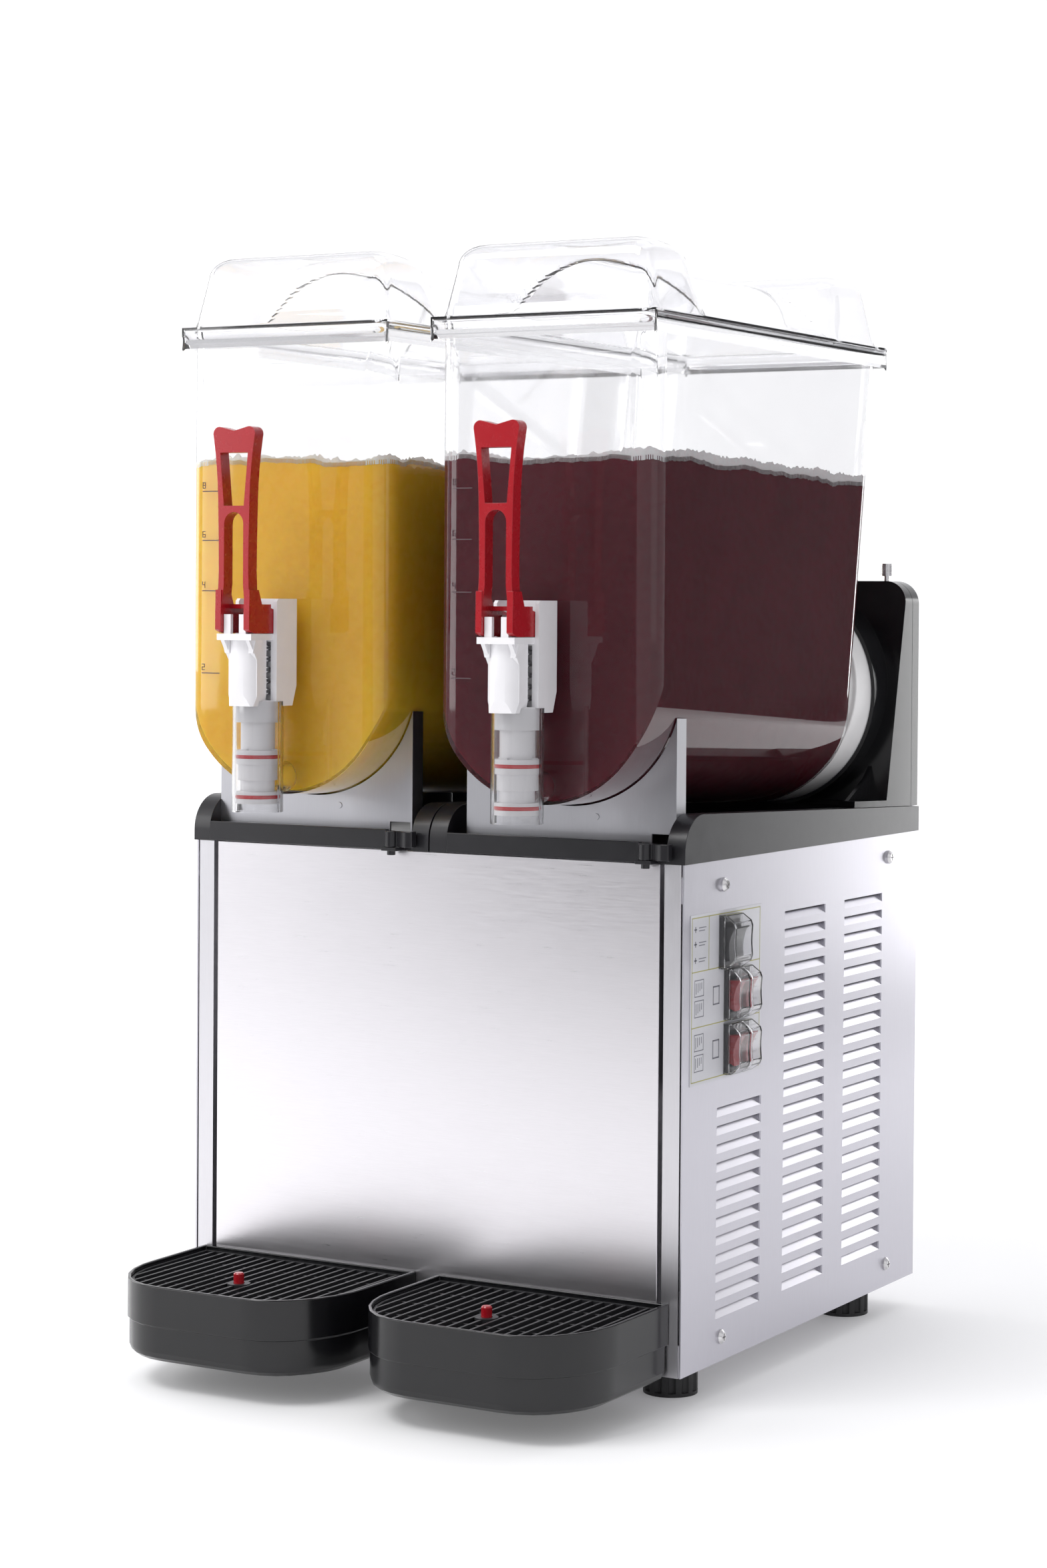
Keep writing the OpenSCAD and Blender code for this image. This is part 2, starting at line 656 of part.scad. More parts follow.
seal_rise = [385.3, 413.4];
seal_wire = 1.6;
seal_ring_r = tube_in - 0.08 - seal_wire;
piston_r = 15.2;
module piston(side) color(white) place() translate([side * tank_x, tap_y, 0]) difference() {
    union() {
        rod_z(0, 0, piston_r, 380.5, 389);
        rod_z(0, 0, 12, 388, 449);
        rod_z(0, 0, 13.8, 397, 409);
        rod_z(0, 0, piston_r, 408, 418);
        rod_z(0, 0, stem_top_r, 448, pivot_z - 4);
        // Eye for the lever's trunnions.
        box([-fork_in + 0.4, -6, pivot_z - 6], [fork_in - 0.4, pivot_y + 6, pivot_z + 6]);
        for (a = [0, 90])
            rotate([0, 0, a]) box([-piston_r + 0.6, -1, 417], [piston_r - 0.6, 1, 419]);
    }
    for (z = seal_rise)
        rotate_extrude() translate([seal_ring_r, z]) circle(seal_wire + 0.05, $fn = 24);
    rod_x(pivot_y, pivot_z, pivot_r + 0.06, -30, 30);
}

module piston_seals(side) color(red) place() translate([side * tank_x, tap_y, 0])
    for (z = seal_rise)
        rotate_extrude() translate([seal_ring_r, z]) circle(seal_wire, $fn = 24);

spring_z0 = 449.4;
spring_z1 = collar_z0 - 1.4;
spring_r = 10.5;
wire_r = 0.9;
coil_turns = 5.5;
coil_steps = 18;
function wire_point(i, j) = let (a = i * 360 / coil_steps, z = spring_z0 + wire_r +
        (spring_z1 - spring_z0 - 2 * wire_r) * i / (coil_turns * coil_steps), b = j * 60)
    [(spring_r + wire_r * cos(b)) * cos(a), (spring_r + wire_r * cos(b)) * sin(a), z + wire_r * sin(b)];
module tap_spring(side) color(steel) place() translate([side * tank_x, tap_y, 0])
    sweep([for (i = [0:coil_turns * coil_steps]) [for (j = [0:5]) wire_point(i, j)]]);

// Lever, drawn about its pivot: y forwards is negative.
lever_front = -32 - pivot_y;
lever_t = 11.5;
lever_top = 643 - pivot_z;
rung_z = 586 - pivot_z;
function waist(z) = z > rung_z ? 13.1 + 4.4 * pow((z - rung_z) / 52, 2)
    : 12.4 + 0.7 * pow((z - 30) / 48, 2) + (z < 30 ? 1 : 0) * (30 - z) * 0.07;
module lever_outline() difference() {
    polygon(concat([for (i = [0:12]) let (z = 4 + (lever_top - 12) * i / 12) [waist(z), z]],
        arc(12.5, lever_top - 5, 5, 5, 0, 110, 6), [[0, lever_top - 3]],
        arc(-12.5, lever_top - 5, 5, 5, 70, 180, 6),
        [for (i = [12:-1:0]) let (z = 4 + (lever_top - 12) * i / 12) [-waist(z), z]]));
    polygon([[-8.3, rung_z + 2.2], [8.3, rung_z + 2.2], [11.6, 625 - pivot_z], [-11.6, 625 - pivot_z]]);
    polygon(concat([[9.6, 0], [9.6, 10], [8, 26]], arc(0, rung_z - 10.2, 8, 8, 0, 180, 12),
        [[-8, 26], [-9.6, 10], [-9.6, 0]]));
}

// Foot outline: a flat, then an involute that lifts the pivot evenly as the lever turns.
cam_h = 8.2;
function cam(a) = let (h = cam_h + cam_k * a * PI / 180)
    [-h * sin(a) - cam_k * cos(a), -h * cos(a) + cam_k * sin(a)];
module foot_outline() polygon(concat([[4.2, -cam_h]], [for (i = [0:9]) cam(lever_swing * i / 9)],
    [[cam(lever_swing)[0], 6], [lever_front, 14], [lever_front, 22], [lever_front + lever_t, 22],
        [lever_front + lever_t + 4, 12], [4.2, 5]]));

module lever(side) color(red) place() translate([side * tank_x, tap_y + pivot_y, pivot_z]) {
    intersection() {
        slab_y(lever_front, lever_front + lever_t) lever_outline();
        box([-30, -40, 9], [30, 40, 200]);
    }
    for (sx = sides)
        slab_x(min(sx * fork_in, sx * fork_out), max(sx * fork_in, sx * fork_out)) foot_outline();
    rod_x(0, 0, pivot_r, -fork_out, fork_out);
    // Ledge across the fork.
    box([-fork_out, -29, 9], [fork_out, -14.5, 12]);
}

// ---------------------------------------------------------------- inside the case
module compressor() color(black) place() translate([-95, 250, 0]) {
    for (a = [0:90:270])
        rotate([0, 0, a + 45]) translate([0, 0, sheet + 0.2]) rod_z(66, 0, 9, 0, 12);
    rod_z(0, 0, 74, 13, 17);
    rod_z(0, 0, 60, 16.9, 120);
    translate([0, 0, 119.9]) cylinder(r1 = 60, r2 = 38, h = 28);
    rod_z(0, 0, 5, 147, 160);
}

fan_x = 108;
fan_y = 258;
fan_z = 150;
module condenser() color(plate_grey) place() difference() {
    box([150, 145, 24], [186, 371, 276]);
    for (i = [0:39])
        box([149, 150 + i * 5.5, 30], [187, 153.5 + i * 5.5, 270]);
}

module fan_shroud() color(black) place() {
    difference() {
        box([124, 145, 24], [149.8, 371, 276]);
        rod_x(fan_y, fan_z, 98, 120, 160);
    }
    for (a = [0:90:270])
        translate([124, fan_y, fan_z]) rotate([a, 0, 0]) box([0, -3, 20], [5, 3, 99]);
    // Motor, with its shaft's bearing.
    difference() {
        rod_x(fan_y, fan_z, 24, 78, 129);
        rod_x(fan_y, fan_z, 4.06, 104, 140);
        difference() {
            rod_x(fan_y, fan_z, 25, 100, 103);
            rod_x(fan_y, fan_z, 22, 99, 104);
        }
    }
}

module fan_blade() color(steel) place() {
    rod_x(fan_y, fan_z, 4, 104.5, 146);
    rod_x(fan_y, fan_z, 20, 130, 147);
    for (a = [0:60:300])
        translate([139.5, fan_y, fan_z]) rotate([a, 0, 0]) rotate([0, 0, 28]) box([-1, -18, 14], [1, 18, 92]);
}

module control_box() color(plate_grey) place() difference() {
    box([110, 16, 190], [172, 122, 322]);
    box([112, 18, 192], [173, 120, 320]);
}

module cord_inlet() color(black) place() difference() {
    union() {
        box([inlet_x - 24, case_d, inlet_z - 14], [inlet_x + 24, case_d + 2, inlet_z + 14]);
        box([inlet_x - inlet_w / 2, case_d - 26, inlet_z - inlet_h / 2],
            [inlet_x + inlet_w / 2, case_d + 0.1, inlet_z + inlet_h / 2]);
    }
    difference() {
        box([inlet_x - 12, case_d - 18, inlet_z - 8.5], [inlet_x + 12, case_d + 3, inlet_z + 8.5]);
        for (p = [[-7, -2], [0, 2], [7, -2]])
            box([inlet_x + p[0] - 1, case_d - 20, inlet_z + p[1] - 2],
                [inlet_x + p[0] + 1, case_d - 3, inlet_z + p[1] + 2]);
    }
}

// ---------------------------------------------------------------- switches
label_y = [9.7, 119.5];
label_z = [196, 312];
label_t = 0.3;
// Each switch: name, middle in y and z, width and height of its flange.
switches = [["main", 67, 290.5, 29, 37], ["upper_left", 69.5, 253.8, 17.6, 35.4],
    ["upper_right", 88.3, 253.8, 17.6, 35.4], ["lower_left", 69.5, 216, 17.6, 35.4],
    ["lower_right", 88.3, 216, 17.6, 35.4]];
pivot_x = half_w + 3.4;
flange_t = 3.2;
rock_tilt = 10;

module control_label() color([0.80, 0.81, 0.83]) place() difference() {
    box([half_w, label_y[0], label_z[0]], [half_w + label_t, label_y[1], label_z[1]]);
    for (s = switches)
        box([half_w - 1, s[1] - s[3] / 2 + 2, s[2] - s[4] / 2 + 3],
            [half_w + 1, s[1] + s[3] / 2 - 2, s[2] + s[4] / 2 - 3]);
}

module switch_bodies() color(black) place() for (s = switches) translate([half_w, s[1], s[2]]) difference() {
    union() {
        box([label_t, -s[3] / 2 + 1.2, -s[4] / 2 + 1.2],
            [label_t + flange_t, s[3] / 2 - 1.2, s[4] / 2 - 1.2]);
        box([-20, -s[3] / 2 + 3, -s[4] / 2 + 4], [label_t + 0.1, s[3] / 2 - 3, s[4] / 2 - 4]);
    }
    box([-14, -s[3] / 2 + 4, -s[4] / 2 + 5], [label_t + flange_t + 1, s[3] / 2 - 4, s[4] / 2 - 5]);
    rod_y(pivot_x - half_w, 0, 1.6 + 0.06, -s[3] / 2 + 3.2, s[3] / 2 - 3.2);
}

// Rocker: a shallow valley between two raised ends, turned to its rest side.
module rocker(s, tint) color(tint) place() translate([pivot_x, s[1], s[2]]) {
    half = s[4] / 2 - 6.6;
    rotate([0, rock_tilt, 0]) slab_y(-s[3] / 2 + 4.4, s[3] / 2 - 4.4)
        polygon([[-5, -half + 3], [5.6, -half], [3.6, -half * 0.45], [3, 0], [3.6, half * 0.45],
            [5.6, half], [-5, half - 3]]);
    rod_y(0, 0, 1.6, -s[3] / 2 + 3.4, s[3] / 2 - 3.4);
}

// Boot outline in x and z: a low skirt, then a wavy dome over the rocker.
function boot_outline(h, d) = concat([[label_t, -h / 2 + d], [label_t + 5.2, -h / 2 + d]],
    [for (i = [0:8]) let (t = -1 + i / 4) [boot_x(t) - d, t * (h / 2 - 4.6 - d)]],
    [[label_t + 5.2, h / 2 - d], [label_t, h / 2 - d]]);
module switch_boots() color(clear) place() for (s = switches) translate([half_w, s[1], s[2]]) difference() {
    union() {
        slab_y(-s[3] / 2 + 1.6, s[3] / 2 - 1.6) polygon(boot_outline(s[4], 0));
        box([label_t, -s[3] / 2, -s[4] / 2], [label_t + 3.4, s[3] / 2, s[4] / 2]);
    }
    slab_y(-s[3] / 2 + 2.8, s[3] / 2 - 2.8) polygon(boot_outline(s[4], 1.2));
    box([label_t - 1, -s[3] / 2 + 1, -s[4] / 2 + 1], [label_t + flange_t + 0.2, s[3] / 2 - 1, s[4] / 2 - 1]);
}

// ---------------------------------------------------------------- fasteners
module screw_shape() difference() {
    union() {
        cylinder(r = 5, h = 1.2);
        translate([0, 0, 1.1]) cylinder(r1 = 5, r2 = 3.2, h = screw_out - 1.1);
        translate([0, 0, -8]) cylinder(r = screw_r, h = 8.1);
    }
    // Cross recess.
    for (a = [0, 90])
        rotate([0, 0, a]) box([-2.4, -0.5, 1.2], [2.4, 0.5, screw_out + 1]);
}

module case_screws() color(steel) place() {
    for (sx = sides, y = side_screw_y, z = side_screw_z)
        translate([sx * half_w, y, z]) rotate([0, sx * 90, 0]) screw_shape();
    for (s = concat(rear_screws, tower_screws))
        translate([s[0], case_d, s[1]]) rotate([-90, 0, 0]) screw_shape();
}

// ---------------------------------------------------------------- drip trays
tray_z0 = -3;
tray_z1 = 50;
tray_x = tray_w / 2 + 9;
ledge_z = 42;
grid_top = 47;
float_y = -88;
float_r = 3.7;

// D-shaped outline with facetted front corners, drawn in by d.
function tray_outline(d) = let (h = tray_w / 2 - 1 - d) concat([[-h - 1, -0.4 - d], [-h, -(tray_d / 2) - d]],
    arc(-35, -tray_d / 2 - d, h - 35, tray_d / 2 - 2 * d, 189, 270, 6),
    arc(35, -tray_d / 2 - d, h - 35, tray_d / 2 - 2 * d, 270, 351, 6),
    [[h, -(tray_d / 2) - d], [h + 1, -0.4 - d]]);

module tray_layer(z0, z1, d) translate([0, 0, z0]) linear_extrude(z1 - z0) polygon(tray_outline(d));

module drip_tray(side) color(black) place() translate([side * tray_x, 0, 0]) {
    difference() {
        union() {
            tray_layer(22, tray_z1, 0);
            tray_layer(4, 22.1, 1.6);
            hull() {
                tray_layer(3.9, 4, 1.6);
                tray_layer(0, 0.1, 3.4);
                tray_layer(tray_z0, tray_z0 + 0.1, 8);
            }
        }
        tray_layer(ledge_z, tray_z1 + 1, 3);
        tray_layer(0.5, ledge_z + 1, 6.4);
    }
    // Hooks that drop through the front panel's slots.
    for (x = [-hook_x, hook_x])
        box([x - 8, -4, hook_z - 1.6], [x + 8, 9, hook_z + 1.6]);
}

slat_pitch = (tray_w - 12) / (slats + 0.5);
module grid(side) color(black) place() translate([side * tray_x, 0, 0]) difference() {
    union() {
        difference() {
            tray_layer(ledge_z + 0.2, grid_top, 3.5);
            tray_layer(ledge_z, grid_top + 1, 6);
        }
        intersection() {
            tray_layer(ledge_z + 0.2, grid_top, 4);
            union() {
                for (i = [0:slats - 1])
                    box([(i - (slats - 1) / 2) * slat_pitch - 1, -tray_d, ledge_z],
                        [(i - (slats - 1) / 2) * slat_pitch + 1, 0, grid_top + 1]);
                for (y = [-35, -70, -105])
                    box([-tray_w, y - 1, ledge_z], [tray_w, y + 1, ledge_z + 3.4]);
            }
        }
        rod_z(0, float_y, 8, ledge_z + 0.2, grid_top + 0.6);
    }
    rod_z(0, float_y, float_r + 0.4, ledge_z - 1, grid_top + 2);
}

module float(side) color(red) place() translate([side * tray_x, float_y, 0]) {
    rod_z(0, 0, float_r, 9, 54);
    translate([0, 0, 53.9]) cylinder(r1 = float_r, r2 = float_r - 0.8, h = 1);
    rod_z(0, 0, 16, 1, 10);
}

// ---------------------------------------------------------------- feet
module foot(sx, y) color(black) place() translate([sx * foot_x, y, 0]) {
    difference() {
        rod_z(0, 0, 19, -foot_h, -3.5);
        for (i = [0:11])
            rotate([0, 0, i * 30]) rod_z(20.4, 0, 3.2, -foot_h + 2.5, -2);
    }
    rod_z(0, 0, 9, -3.6, -0.2);
    rod_z(0, 0, stem_r, -0.3, 18);
}

base_frame();
front_panel();
side_panel(left);  // side_panel_left
side_panel(right);  // side_panel_right
rear_panel();
deck_mouldings();
tower_housing();
tower_rear_cover();
cradle_plates();
evaporators();
tank_gaskets();
gear_motors();
drive_shaft(left);  // drive_shaft_left
drive_shaft(right);  // drive_shaft_right
auger(left);  // auger_left
auger(right);  // auger_right
tank(left);  // tank_left
tank(right);  // tank_right
lid(left);  // lid_left
lid(right);  // lid_right
tap_housing(left);  // tap_housing_left
tap_housing(right);  // tap_housing_right
piston(left);  // piston_left
piston(right);  // piston_right
piston_seals(left);  // piston_seals_left
piston_seals(right);  // piston_seals_right
tap_spring(left);  // tap_spring_left
tap_spring(right);  // tap_spring_right
lever(left);  // lever_left
lever(right);  // lever_right
compressor();
condenser();
fan_shroud();
fan_blade();
control_box();
cord_inlet();
control_label();
rocker(switches[0], black);  // rocker_main
rocker(switches[1], red);  // rocker_upper_left
rocker(switches[2], red);  // rocker_upper_right
rocker(switches[3], red);  // rocker_lower_left
rocker(switches[4], red);  // rocker_lower_right
switch_bodies();
switch_boots();
case_screws();
density_screw(left);  // density_screw_left
density_screw(right);  // density_screw_right
drip_tray(left);  // drip_tray_left
drip_tray(right);  // drip_tray_right
grid(left);  // grid_left
grid(right);  // grid_right
float(left);  // float_left
float(right);  // float_right
front_bars();
latch(left);  // latch_left
latch(right);  // latch_right
foot(left, foot_y[0]);  // foot_front_left
foot(right, foot_y[0]);  // foot_front_right
foot(left, foot_y[1]);  // foot_rear_left
foot(right, foot_y[1]);  // foot_rear_right
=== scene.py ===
"""Looks of the slushie machine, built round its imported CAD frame.

Metres; positions in millimetres go through at()."""

import json
import math

import bmesh
import bpy
import numpy as np
from mathutils import Matrix, Vector, noise


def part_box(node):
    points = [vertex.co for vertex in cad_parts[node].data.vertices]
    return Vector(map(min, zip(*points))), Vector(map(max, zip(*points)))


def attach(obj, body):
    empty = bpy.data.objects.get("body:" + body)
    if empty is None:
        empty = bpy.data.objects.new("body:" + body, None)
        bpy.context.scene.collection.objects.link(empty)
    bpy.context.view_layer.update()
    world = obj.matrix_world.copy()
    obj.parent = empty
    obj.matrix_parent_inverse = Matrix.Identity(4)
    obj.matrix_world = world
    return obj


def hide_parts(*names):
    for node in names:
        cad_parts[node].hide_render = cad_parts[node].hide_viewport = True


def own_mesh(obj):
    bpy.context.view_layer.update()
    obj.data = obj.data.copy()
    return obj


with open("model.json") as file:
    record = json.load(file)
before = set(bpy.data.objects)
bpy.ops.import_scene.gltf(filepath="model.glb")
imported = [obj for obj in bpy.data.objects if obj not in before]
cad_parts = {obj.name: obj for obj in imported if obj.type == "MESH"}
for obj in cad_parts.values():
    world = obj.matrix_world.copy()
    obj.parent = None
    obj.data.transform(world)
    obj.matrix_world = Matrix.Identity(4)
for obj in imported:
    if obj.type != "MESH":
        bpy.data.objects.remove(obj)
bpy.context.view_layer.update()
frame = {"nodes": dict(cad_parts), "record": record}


record = frame["record"]
slots = {s["node"]: s["material_slot"] for s in record["subparts"]}
body_of = {n: b for b, nodes in record["behaviour"]["bodies"].items() for n in nodes}
lo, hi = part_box("front_panel")
origin = Vector(((lo[0] + hi[0]) / 2, lo[1], lo[2]))
MM = 0.001
SIDES = {"left": -1, "right": 1}
TANK_X = 105.0
TILT = math.radians(2.6)
AXIS_Z, TANK_Y = 470.5, -30.0
# Inside of the tank: its half width, corner radius, wall and the lean and top of its rear wall.
INNER_R, INNER_CORNER, WALL = 82, 15, 3
REAR_LEAN, REAR_TOP, REAR_WALL = 9.1, 347, 3.04
# The drink reaches this far into the wall, so that no thin air gap lies between them.
OVERLAP = 0.15


def at(x, y, z):
    """A point of the case's frame, in millimetres from the front panel's bottom middle, in metres."""
    return origin + Vector((x, y, z)) * MM


# ------------------------------------------------------------------ materials
def linear(c):
    return tuple(c) + (1.0,)


class Mat:
    """A Principled material with procedural variation in object space."""

    def __init__(self, name, colour, rough, metallic=0.0, coat=0.0, ior=1.5, spec=0.5):
        self.m = bpy.data.materials.new(name)
        self.m.use_nodes = True
        self.t = self.m.node_tree
        self.b = self.t.nodes["Principled BSDF"]
        self.colour, self.rough = colour, rough
        self.b.inputs["Base Color"].default_value = linear(colour)
        self.b.inputs["Roughness"].default_value = rough
        self.b.inputs["Metallic"].default_value = metallic
        self.b.inputs["IOR"].default_value = ior
        self.b.inputs["Specular IOR Level"].default_value = spec
        self.b.inputs["Coat Weight"].default_value = coat
        self.b.inputs["Coat Roughness"].default_value = 0.08
        self.co = self.node("ShaderNodeTexCoord").outputs["Object"]
        self.normal = None

    def node(self, kind, **values):
        n = self.t.nodes.new(kind)
        for k, v in values.items():
            setattr(n, k, v)
        return n

    def link(self, a, b):
        self.t.links.new(a, b)

    def noise(self, scale, detail=4.0, rough=0.55, stretch=(1, 1, 1)):
        mapping = self.node("ShaderNodeMapping")
        mapping.inputs["Scale"].default_value = stretch
        self.link(self.co, mapping.inputs["Vector"])
        n = self.node("ShaderNodeTexNoise")
        n.inputs["Scale"].default_value = scale
        n.inputs["Detail"].default_value = detail
        n.inputs["Roughness"].default_value = rough
        self.link(mapping.outputs["Vector"], n.inputs["Vector"])
        return n.outputs["Fac"]

    def ramp(self, fac, low, high, a, b):
        """Colours a to b as fac goes from low to high."""
        r = self.node("ShaderNodeValToRGB")
        e = r.color_ramp.elements
        e[0].position, e[1].position = low, high
        e[0].color, e[1].color = linear(a), linear(b)
        self.link(fac, r.inputs["Fac"])
        return r.outputs["Color"]

    def vary_colour(self, amount, scale, stretch=(1, 1, 1)):
        dark = tuple(max(0.0, c * (1 - amount)) for c in self.colour)
        light = tuple(min(1.0, c * (1 + amount)) for c in self.colour)
        colour = self.ramp(self.noise(scale, stretch=stretch), 0.3, 0.7, dark, light)
        self.link(colour, self.b.inputs["Base Color"])
        return self

    def vary_rough(self, amount, scale, stretch=(1, 1, 1)):
        r = self.node("ShaderNodeMapRange")
        r.inputs["From Min"].default_value, r.inputs["From Max"].default_value = 0.25, 0.75
        r.inputs["To Min"].default_value = max(0.02, self.rough - amount)
        r.inputs["To Max"].default_value = min(1.0, self.rough + amount)
        self.link(self.noise(scale, stretch=stretch), r.inputs["Value"])
        self.link(r.outputs["Result"], self.b.inputs["Roughness"])
        return self

    def bump(self, scale, depth_mm, strength=0.5, stretch=(1, 1, 1), detail=3.0):
        n = self.node("ShaderNodeBump")
        n.inputs["Strength"].default_value = strength
        n.inputs["Distance"].default_value = depth_mm * MM
        self.link(self.noise(scale, detail, stretch=stretch), n.inputs["Height"])
        if self.normal:
            self.link(self.normal, n.inputs["Normal"])
        self.normal = n.outputs["Normal"]
        self.link(self.normal, self.b.inputs["Normal"])
        return self

    def set(self, **values):
        for k, v in values.items():
            self.b.inputs[k.replace("_", " ")].default_value = v
        return self


def brushed(name, colour, rough, along):
    """Brushed sheet, its grain running along an axis."""
    stretch = {"x": (0.03, 1, 1), "y": (1, 0.03, 1), "z": (1, 1, 0.03)}[along]
    m = Mat(name, colour, rough, 1.0)
    m.vary_colour(0.02, 2600, stretch).vary_rough(0.03, 1300, stretch).bump(3200, 0.0009, 0.22, stretch)
    m.bump(5, 0.2, 0.025, detail=1.0)
    m.set(Anisotropic=0.15)
    return m.m


def plastic(name, colour, rough, grain_mm=0.01, grain=1800, var=0.06, coat=0.0, spec=0.5):
    m = Mat(name, colour, rough, coat=coat, spec=spec)
    return m.vary_colour(var, 60).vary_rough(0.025, 140).bump(grain, grain_mm, 0.4).m


def clear(name, tint, rough=0.02, wave_mm=0.03, ior=1.49):
    m = Mat(name, tint, rough, ior=ior)
    m.set(Transmission_Weight=0.985)
    m.vary_colour(0.012, 14).vary_rough(0.012, 40).bump(11, wave_mm, 0.25, detail=1.0)
    return m.m


steel_front = brushed("steel_front", (0.82, 0.80, 0.83), 0.30, "x")
steel_side = brushed("steel_side", (0.58, 0.57, 0.62), 0.32, "z")
steel_post = brushed("steel_post", (0.70, 0.69, 0.72), 0.33, "z")
zinc = brushed("zinc", (0.55, 0.56, 0.58), 0.42, "x")
cradle_steel = brushed("cradle_steel", (0.50, 0.50, 0.53), 0.34, "z")
drum_steel = brushed("drum_steel", (0.72, 0.72, 0.74), 0.25, "y")
screw_steel = Mat("screw_steel", (0.70, 0.69, 0.70), 0.24, 1.0)
screw_steel = screw_steel.vary_colour(0.06, 300).vary_rough(0.06, 500).bump(900, 0.01, 0.3).m
wire_steel = Mat("wire_steel", (0.60, 0.60, 0.61), 0.22, 1.0).vary_colour(0.08, 400).vary_rough(0.05, 600).m
aluminium = Mat("aluminium", (0.72, 0.73, 0.75), 0.40, 1.0)
aluminium = aluminium.vary_colour(0.06, 200).vary_rough(0.08, 300).bump(600, 0.02, 0.3).m
cast = Mat("cast", (0.20, 0.21, 0.22), 0.55, 0.4)
cast = cast.vary_colour(0.12, 120).vary_rough(0.1, 200).bump(500, 0.05, 0.5).m
enamel = Mat("enamel", (0.012, 0.012, 0.013), 0.28, coat=0.5)
enamel = enamel.vary_colour(0.15, 60).vary_rough(0.08, 80).bump(220, 0.04, 0.4).m
black = plastic("black_plastic", (0.012, 0.0115, 0.014), 0.30, 0.008, 2200, 0.12)
black_gloss = plastic("black_gloss_plastic", (0.005, 0.005, 0.006), 0.20, 0.005, 1500, 0.12)
black_matte = plastic("black_matte_plastic", (0.016, 0.016, 0.018), 0.48, 0.012, 1600, 0.12)
black_rubber = plastic("black_rubber", (0.014, 0.014, 0.015), 0.55, 0.02, 900, 0.15)
white = plastic("white_plastic", (0.80, 0.79, 0.81), 0.34, 0.006, 900, 0.02, 0.1)
white_rubber = plastic("white_rubber", (0.74, 0.73, 0.73), 0.5, 0.01, 700, 0.03)
red = plastic("red_plastic", (0.36, 0.003, 0.010), 0.27, 0.002, 900, 0.03, 0.2)
red_rubber = plastic("red_rubber", (0.55, 0.012, 0.02), 0.40, 0.01, 900, 0.05)
label_grey = plastic("label_film", (0.58, 0.58, 0.61), 0.38, 0.004, 900, 0.03)
olive = plastic("print_olive", (0.36, 0.34, 0.10), 0.45, 0.003, 900, 0.08)
print_grey = plastic("print_grey", (0.16, 0.16, 0.19), 0.45, 0.003, 900, 0.08)
mark_grey = plastic("mark_print", (0.10, 0.06, 0.07), 0.40, 0.003, 900, 0.08)
clear_tank = clear("clear_tank", (0.985, 0.985, 0.99))
clear_lid = clear("clear_lid", (0.975, 0.975, 0.985), 0.03, 0.05)
clear_boot = clear("clear_boot", (0.97, 0.97, 0.98), 0.10, 0.06, 1.43)


def drink_material(name, deep, pale, sheen):
    m = Mat(name, deep, 0.28, ior=1.36)
    m.link(m.ramp(m.noise(16, 7, 0.6, (1, 1, 0.6)), 0.3, 0.75, deep, pale), m.b.inputs["Base Color"])
    m.vary_rough(0.08, 120).bump(500, 0.02, 0.3, detail=5.0)
    m.set(Subsurface_Weight=0.4, Subsurface_Radius=(1.0, 0.5, 0.2), Subsurface_Scale=0.010)
    m.b.inputs["Specular IOR Level"].default_value = sheen
    return m.m


def frost_material(name, tint):
    m = Mat(name, tint, 0.5, ior=1.31)
    m.link(m.ramp(m.noise(420, 8, 0.7), 0.35, 0.65, tint, (0.96, 0.96, 0.96)), m.b.inputs["Base Color"])
    m.vary_rough(0.15, 300).bump(700, 0.5, 0.7, detail=6.0)
    m.set(Subsurface_Weight=0.5, Subsurface_Radius=(1.0, 0.8, 0.8), Subsurface_Scale=0.004)
    return m.m


drinks = {
    "left": drink_material("drink_yellow", (0.94, 0.53, 0.018), (1.0, 0.66, 0.040), 0.3),
    "right": drink_material("drink_red", (0.090, 0.002, 0.010), (0.13, 0.004, 0.016), 0.15),
}
frosts = {
    "left": frost_material("frost_yellow", (0.95, 0.91, 0.78)),
    "right": frost_material("frost_red", (0.94, 0.85, 0.87)),
}

by_slot = {
    "case_steel": steel_side, "plate_steel": cradle_steel, "zinc_steel": zinc, "drum_steel": drum_steel,
    "motor_metal": cast, "black_plastic": black, "white_plastic": white, "red_plastic": red,
    "clear_plastic": clear_tank, "clear_rubber": clear_boot, "white_rubber": white_rubber,
    "red_rubber": red_rubber, "foot_rubber": black_rubber, "spring_steel": wire_steel,
    "screw_steel": screw_steel, "black_enamel": enamel, "aluminium": aluminium, "label_film": label_grey,
}
by_node = {
    "front_panel": steel_front, "base_frame": steel_post, "lid_left": clear_lid, "lid_right": clear_lid,
    "drip_tray_left": black_gloss, "drip_tray_right": black_gloss, "grid_left": black_matte,
    "grid_right": black_matte, "fan_shroud": black_matte, "switch_bodies": black_gloss,
    "rocker_main": black_gloss, "tower_housing": black_gloss, "tower_rear_cover": black_gloss,
}


def paint(obj, material):
    obj.data.materials.clear()
    obj.data.materials.append(material)
    for p in obj.data.polygons if obj.type == "MESH" else []:
        p.material_index = 0


# ------------------------------------------------------------------ pieces
def add(name, mesh, node=None, body=None, material=None, stands_for=None):
    """Puts a mesh in the scene as a piece that rides on a CAD body."""
    obj = bpy.data.objects.new(name, mesh)
    bpy.context.collection.objects.link(obj)
    node = node or stands_for
    if material:
        paint(obj, material)
    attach(obj, body or body_of[node])
    if stands_for:
        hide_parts(stands_for)
    return obj


def smooth(mesh, degrees=32):
    mesh.shade_smooth()
    mesh.set_sharp_from_angle(angle=math.radians(degrees))


